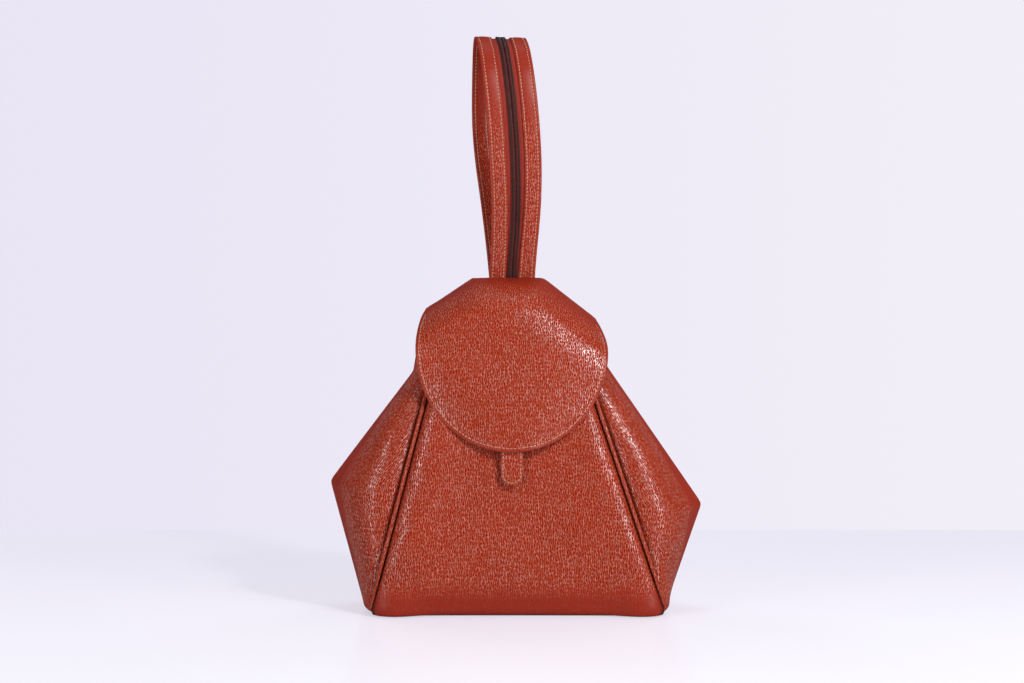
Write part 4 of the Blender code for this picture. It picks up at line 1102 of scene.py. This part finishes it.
# The strap: two bands of doubled leather, each with a row of stitches along both of its edges
# They rise from the seam under the flap and turn over in one loop
# They then lie down the back of the bag, part, and are sewn to its lower corners
band_width = 17 * MM
gap_at_bag = 6.2 * MM
gap_in_loop = 9.2 * MM
loop_height = 242 * MM
loop_half_depth = 41 * MM
strap_seam_depth = 15 * MM
strap_lift = 2.7 * MM
zip_end_height = 164 * MM
foot_half_width = 112 * MM
foot_height = 24 * MM
foot_bend = 0.15
strap_twist = math.radians(9)
loop_rises = [(0, 0), (0.09, 0.088), (0.207, 0.278), (0.37, 0.607), (0.54, 0.824), (0.73, 0.985)]
loop_rises += [(0.87, 0.85), (0.955, 0.53), (1, 0)]
loop_leans = [(0, 0), (0.15, 0.1), (0.33, -0.01), (0.42, -0.15), (0.5, -0.3), (0.6, -0.37), (0.68, -0.375)]
loop_leans += [(0.85, -0.165), (1, 0)]
seam_front_y = 22.6 * MM
seam_back_y = 29.5 * MM
back_slope = Vector((0, back_top_reach - back_reach, back_height)).normalized()
back_out = Vector((0, back_slope.z, -back_slope.y))
station_step = 2.2 * MM


def strap_route():
    """The strap in side view, as points of y and z from the seam under the flap to the zip's lower end."""
    middle_y, half = (seam_front_y + seam_back_y) / 2, (seam_back_y - seam_front_y) / 2
    points = [(seam_front_y, back_height - strap_seam_depth), (seam_front_y, back_height)]
    for way, rises in ((-1, loop_rises[1:]), (1, loop_rises[-2::-1])):
        for up, out in rises:
            y = middle_y + way * half * (1 - up) + way * loop_half_depth * out
            points.append((y, back_height + loop_height * up))
    for share in (0.1, 0.35, 0.7, 1):
        z = mix(back_height, zip_end_height, share)
        points.append((back_plane(z) + strap_lift, z))
    return np.array(points)


route = strap_route()
route_marks = marks_of(route)
ys, zs = ([(mark, value) for mark, value in zip(route_marks, route[:, axis])] for axis in (0, 1))
fine_route = np.array([(follow(ys, mark), follow(zs, mark)) for mark in np.linspace(0, route_marks[-1], 900)])
run = marks_of(fine_route)
in_loop = np.flatnonzero(fine_route[:, 1] >= back_height)
strap_marks = np.linspace(0, run[-1], round(run[-1] / station_step))
progress = np.clip((strap_marks - run[in_loop[0]]) / (run[in_loop[-1]] - run[in_loop[0]]), 0, 1)
strap_middle = np.stack(
    [
        [loop_half_depth * follow(loop_leans, share) for share in progress],
        np.interp(strap_marks, run, fine_route[:, 0]),
        np.interp(strap_marks, run, fine_route[:, 1]),
    ],
    1,
)
strap_along = unit(np.gradient(strap_middle, axis=0))
twists = strap_twist * np.sin(math.pi * progress)
strap_across = squared(np.stack([np.cos(twists), np.sin(twists), 0 * twists], 1), strap_along)
strap_out = np.cross(strap_across, strap_along)
strap_gap = mix(gap_at_bag, gap_in_loop, np.array([ease(min(share, 1 - share) / 0.25) for share in progress]))


def on_strap(marks, across, height):
    """Places on the strap at these lengths along it, this far across and out from its middle, and the way out."""
    lines = (strap_middle, strap_across, strap_out)
    middle, sideways, out = (at_marks(marks, strap_marks, values) for values in lines)
    return middle + sideways * np.reshape(across, (-1, 1)) + out * np.reshape(height, (-1, 1)), out


def band_run(side, beside, height):
    """A line along one band, this far from its inner edge, and the way out along it."""
    line, outs = on_strap(strap_marks, side * (strap_gap + beside), height)
    foot = []
    reach = foot_half_width - gap_at_bag - band_width / 2
    whole = math.hypot(1, foot_bend) - foot_bend
    for share in np.linspace(0, 1, 66)[1:]:
        spread = (math.hypot(share, foot_bend) - foot_bend) / whole
        rate = (share / math.hypot(share, foot_bend)) / whole
        z = mix(zip_end_height, foot_height, share)
        along = Vector((side * reach * rate, 0, foot_height - zip_end_height))
        along.y = along.z * back_slope.y / back_slope.z
        sideways = along.normalized().cross(back_out) * side
        x = mix(gap_at_bag + band_width / 2, foot_half_width, spread)
        middle = Vector((side * x, back_plane(z) + strap_lift, z))
        foot.append(middle + sideways * (beside - band_width / 2) + back_out * height)
    return np.vstack([line, np.array(foot)]), np.vstack([outs, np.array([back_out] * len(foot))])


band_top = [(0, 0.8), (0.1, 1.25), (0.5, 1.76), (1.3, 1.98), (2.1, 1.9), (2.5, 1.7), (2.9, 1.88), (4, 2.06)]
band_top += [(6, 2.2), (8.5, 2.26), (11, 2.16), (12.3, 2.02), (13.1, 1.88), (13.5, 1.7), (13.9, 1.9)]
band_top += [(14.7, 2), (15.7, 1.96), (16.5, 1.74), (16.9, 1.25), (17, 0.8), (16.85, 0.36), (8.5, 0.34)]
band_top += [(0.15, 0.36)]
sewn_zones = ([0, 3.6, 5, 11, 12.4, 17], [0.7, 0.7, 0, 0, 0.7, 0.7])
band_shares = np.interp([beside for beside, _ in band_top], *sewn_zones)
strap_leather = pebbled("strap_leather", tan, valley, 2.2, 0.32)
bend_start = 0.44
bend_reach = 80 * MM
back_thinness = 0.93
stitch_beside = (2.5, 13.5)
stitch_height = 1.72 * MM
for side, word in ((-1, "left"), (1, "right")):
    middles, outs = band_run(side, band_width / 2, 0)
    bent = np.array([ease((point[2] - bend_start) / bend_reach) for point in middles])
    for layer, flip, full in (("face", 1, 1), ("back", -1, back_thinness)):
        section = [((beside - 8.5) * MM * side * flip, height * MM * full) for beside, height in band_top]
        node = f"strap_{layer}_{word}"
        pulled = np.maximum(bent[:, None], band_shares)
        swept(node + "_leather", middles, outs * flip, section, strap_leather, [node], pulled=pulled)
        for row, beside in enumerate(stitch_beside):
            line, ways = band_run(side, beside * MM, flip * stitch_height)
            stitch_row(f"{node}_stitches_{row}", line[:-3], ways[:-3] * flip, "bag")

# The zip: a red-brown woven tape in each half of the strap, with a black nylon coil along its edge
# The coil winds round a cotton cord, and two rows of dark thread sew it down to the tape
cord_cotton = woven("cord_cotton", (0.2, 0.016, 0.009, 1), (0.1, 0.008, 0.005, 1), 0.4, 0.05, 0.8)
zip_tape = woven("tape_weave", (0.42, 0.034, 0.016, 1), (0.25, 0.016, 0.007, 1), 0.55, 0.1, 0.8)
tape_half = 0.3 * MM
zip_start = 12 * MM
slider_where = 703.55 * MM
coil_end = slider_where + 1.5 * MM
coil_pitch = 2 * MM
coil_nylon, place = new_finish("coil_nylon")
dust = place.speckle(0.6, 3)
coil_look = {"Roughness": dust.between(0.1, 0.9) * 0.15 + 0.24, "Specular IOR Level": 0.25}
coil_tone = dust.tint((0.004, 0.004, 0.005, 1), (0.014, 0.013, 0.014, 1))
set_shader(coil_nylon, {"Base Color": coil_tone, **coil_look})
sewing_thread, place = new_finish("sewing_thread")
sewing_tone = place.speckle(2.2).tint((0.012, 0.006, 0.006, 1), (0.035, 0.014, 0.013, 1))
set_shader(sewing_thread, {"Base Color": sewing_tone, "Roughness": 0.6})
coil_steps = 12
cord_beside = 1.9 * MM
cord_height = 1.15 * MM
seam_beside = (3.3, 4.1)
tape_sewn_in = 4.6 * MM
angles = np.arange(0, (coil_end - zip_start) / coil_pitch * coil_steps) * 2 * math.pi / coil_steps
coil_section = round_section(0.43 * MM, 6)
cord_section = [(x * 1.6, y * 0.85) for x, y in round_section(1 * MM, 8)]
seam_section = round_section(0.38 * MM, 6)
seat = np.arange(zip_start + 1 * MM, coil_end - 2 * MM, coil_pitch / 8)
tape_marks = strap_marks[strap_marks > zip_start]
tape_reach = np.interp(tape_marks, strap_marks, strap_gap) + tape_sewn_in
tape_out = on_strap(tape_marks[[len(tape_marks) // 2]], 0, 0)[1][0]
for side, word in ((-1, "left"), (1, "right")):
    reaches = [mix(0.2 * MM, tape_reach, share) for share in np.linspace(0, 1, 7)]
    tape_grid = np.stack([on_strap(tape_marks, side * reach, tape_half)[0] for reach in reaches], 1)
    node = "zip_tape_" + word
    add_sheet(node + "_cloth", tape_grid, 2 * tape_half, zip_tape, [node], facing=tape_out)
    where = zip_start + coil_pitch * (angles / 2 / math.pi + side * 0.25) + 0.4 * MM * np.cos(angles)
    across = side * (2 + 2.1 * np.cos(angles)) * MM
    coil, coil_outs = on_strap(where, across, (1.24 + 0.6 * np.sin(angles)) * MM)
    coil_outs += strap_across[0] * 0.01
    swept(f"zip_coil_{word}", coil, coil_outs, coil_section, coil_nylon, [f"zip_teeth_{word}"])
    swept(f"zip_cord_{word}", *on_strap(seat, side * cord_beside, cord_height), cord_section, cord_cotton)
    for row, beside in enumerate(seam_beside):
        seam = on_strap(seat, side * beside * MM, 2 * MM)
        swept(f"zip_seam_{word}_{row}", *seam, seam_section, sewing_thread)

# The metal pieces: the zip's slider, pull and stops and the magnetic snap, in cast zinc that is darkened
# The snap's washer is plated steel, and all of them keep the frame's shapes, with their edges rounded
gunmetal, place = new_finish("darkened_zinc")
worn = place.speckle(0.5, 4)
zinc_tone = worn.tint((0.06, 0.055, 0.052, 1), (0.17, 0.16, 0.15, 1))
zinc_look = {"Roughness": worn * 0.25 + 0.2, "Metallic": 1.0, "Normal": place.speckle(3).raised(0.02, 0.3)}
set_shader(gunmetal, {"Base Color": zinc_tone, **zinc_look})
steel, _ = new_finish("plated_steel")
set_shader(steel, {"Base Color": (0.6, 0.58, 0.55, 1), "Roughness": 0.3, "Metallic": 1.0})
zinc_nodes = ("zip_slider", "zip_pull", "zip_stop_left", "zip_stop_right", "snap_socket", "snap_stud")
for node in (*zinc_nodes, "snap_socket_washer"):
    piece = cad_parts[node]
    piece.material_slots[0].material = gunmetal if node in zinc_nodes else steel
    bevel = piece.modifiers.new("Soft edges", "BEVEL")
    bevel.width = 0.16 * MM
    bevel.segments = 2
    bevel.limit_method = "ANGLE"
    bevel.angle_limit = math.radians(40)

# The records: the finish that each piece takes, by its material, and the size of the whole bag
# Thread and cord take the finish of the piece that they are sewn into
slot_of = {}
for slot, looks in {
    "leather": ("bag_leather", "bead_leather", "strap_leather", "tab_leather", "cream_thread"),
    "edge_leather": ("sole_leather", "smooth_leather"),
    "suede": ("flesh_side",),
    "board": ("fibreboard",),
    "lining_cloth": ("cotton_drill",),
    "zip_tape": ("tape_weave", "sewing_thread", "cord_cotton"),
    "zip_coil": ("coil_nylon",),
    "gunmetal": ("darkened_zinc",),
    "steel": ("plated_steel",),
}.items():
    slot_of |= dict.fromkeys(looks, slot)
shown_low, shown_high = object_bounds()
sizes = {"cad": [list(cad_low), list(cad_high)], "visual": [list(shown_low), list(shown_high)]}
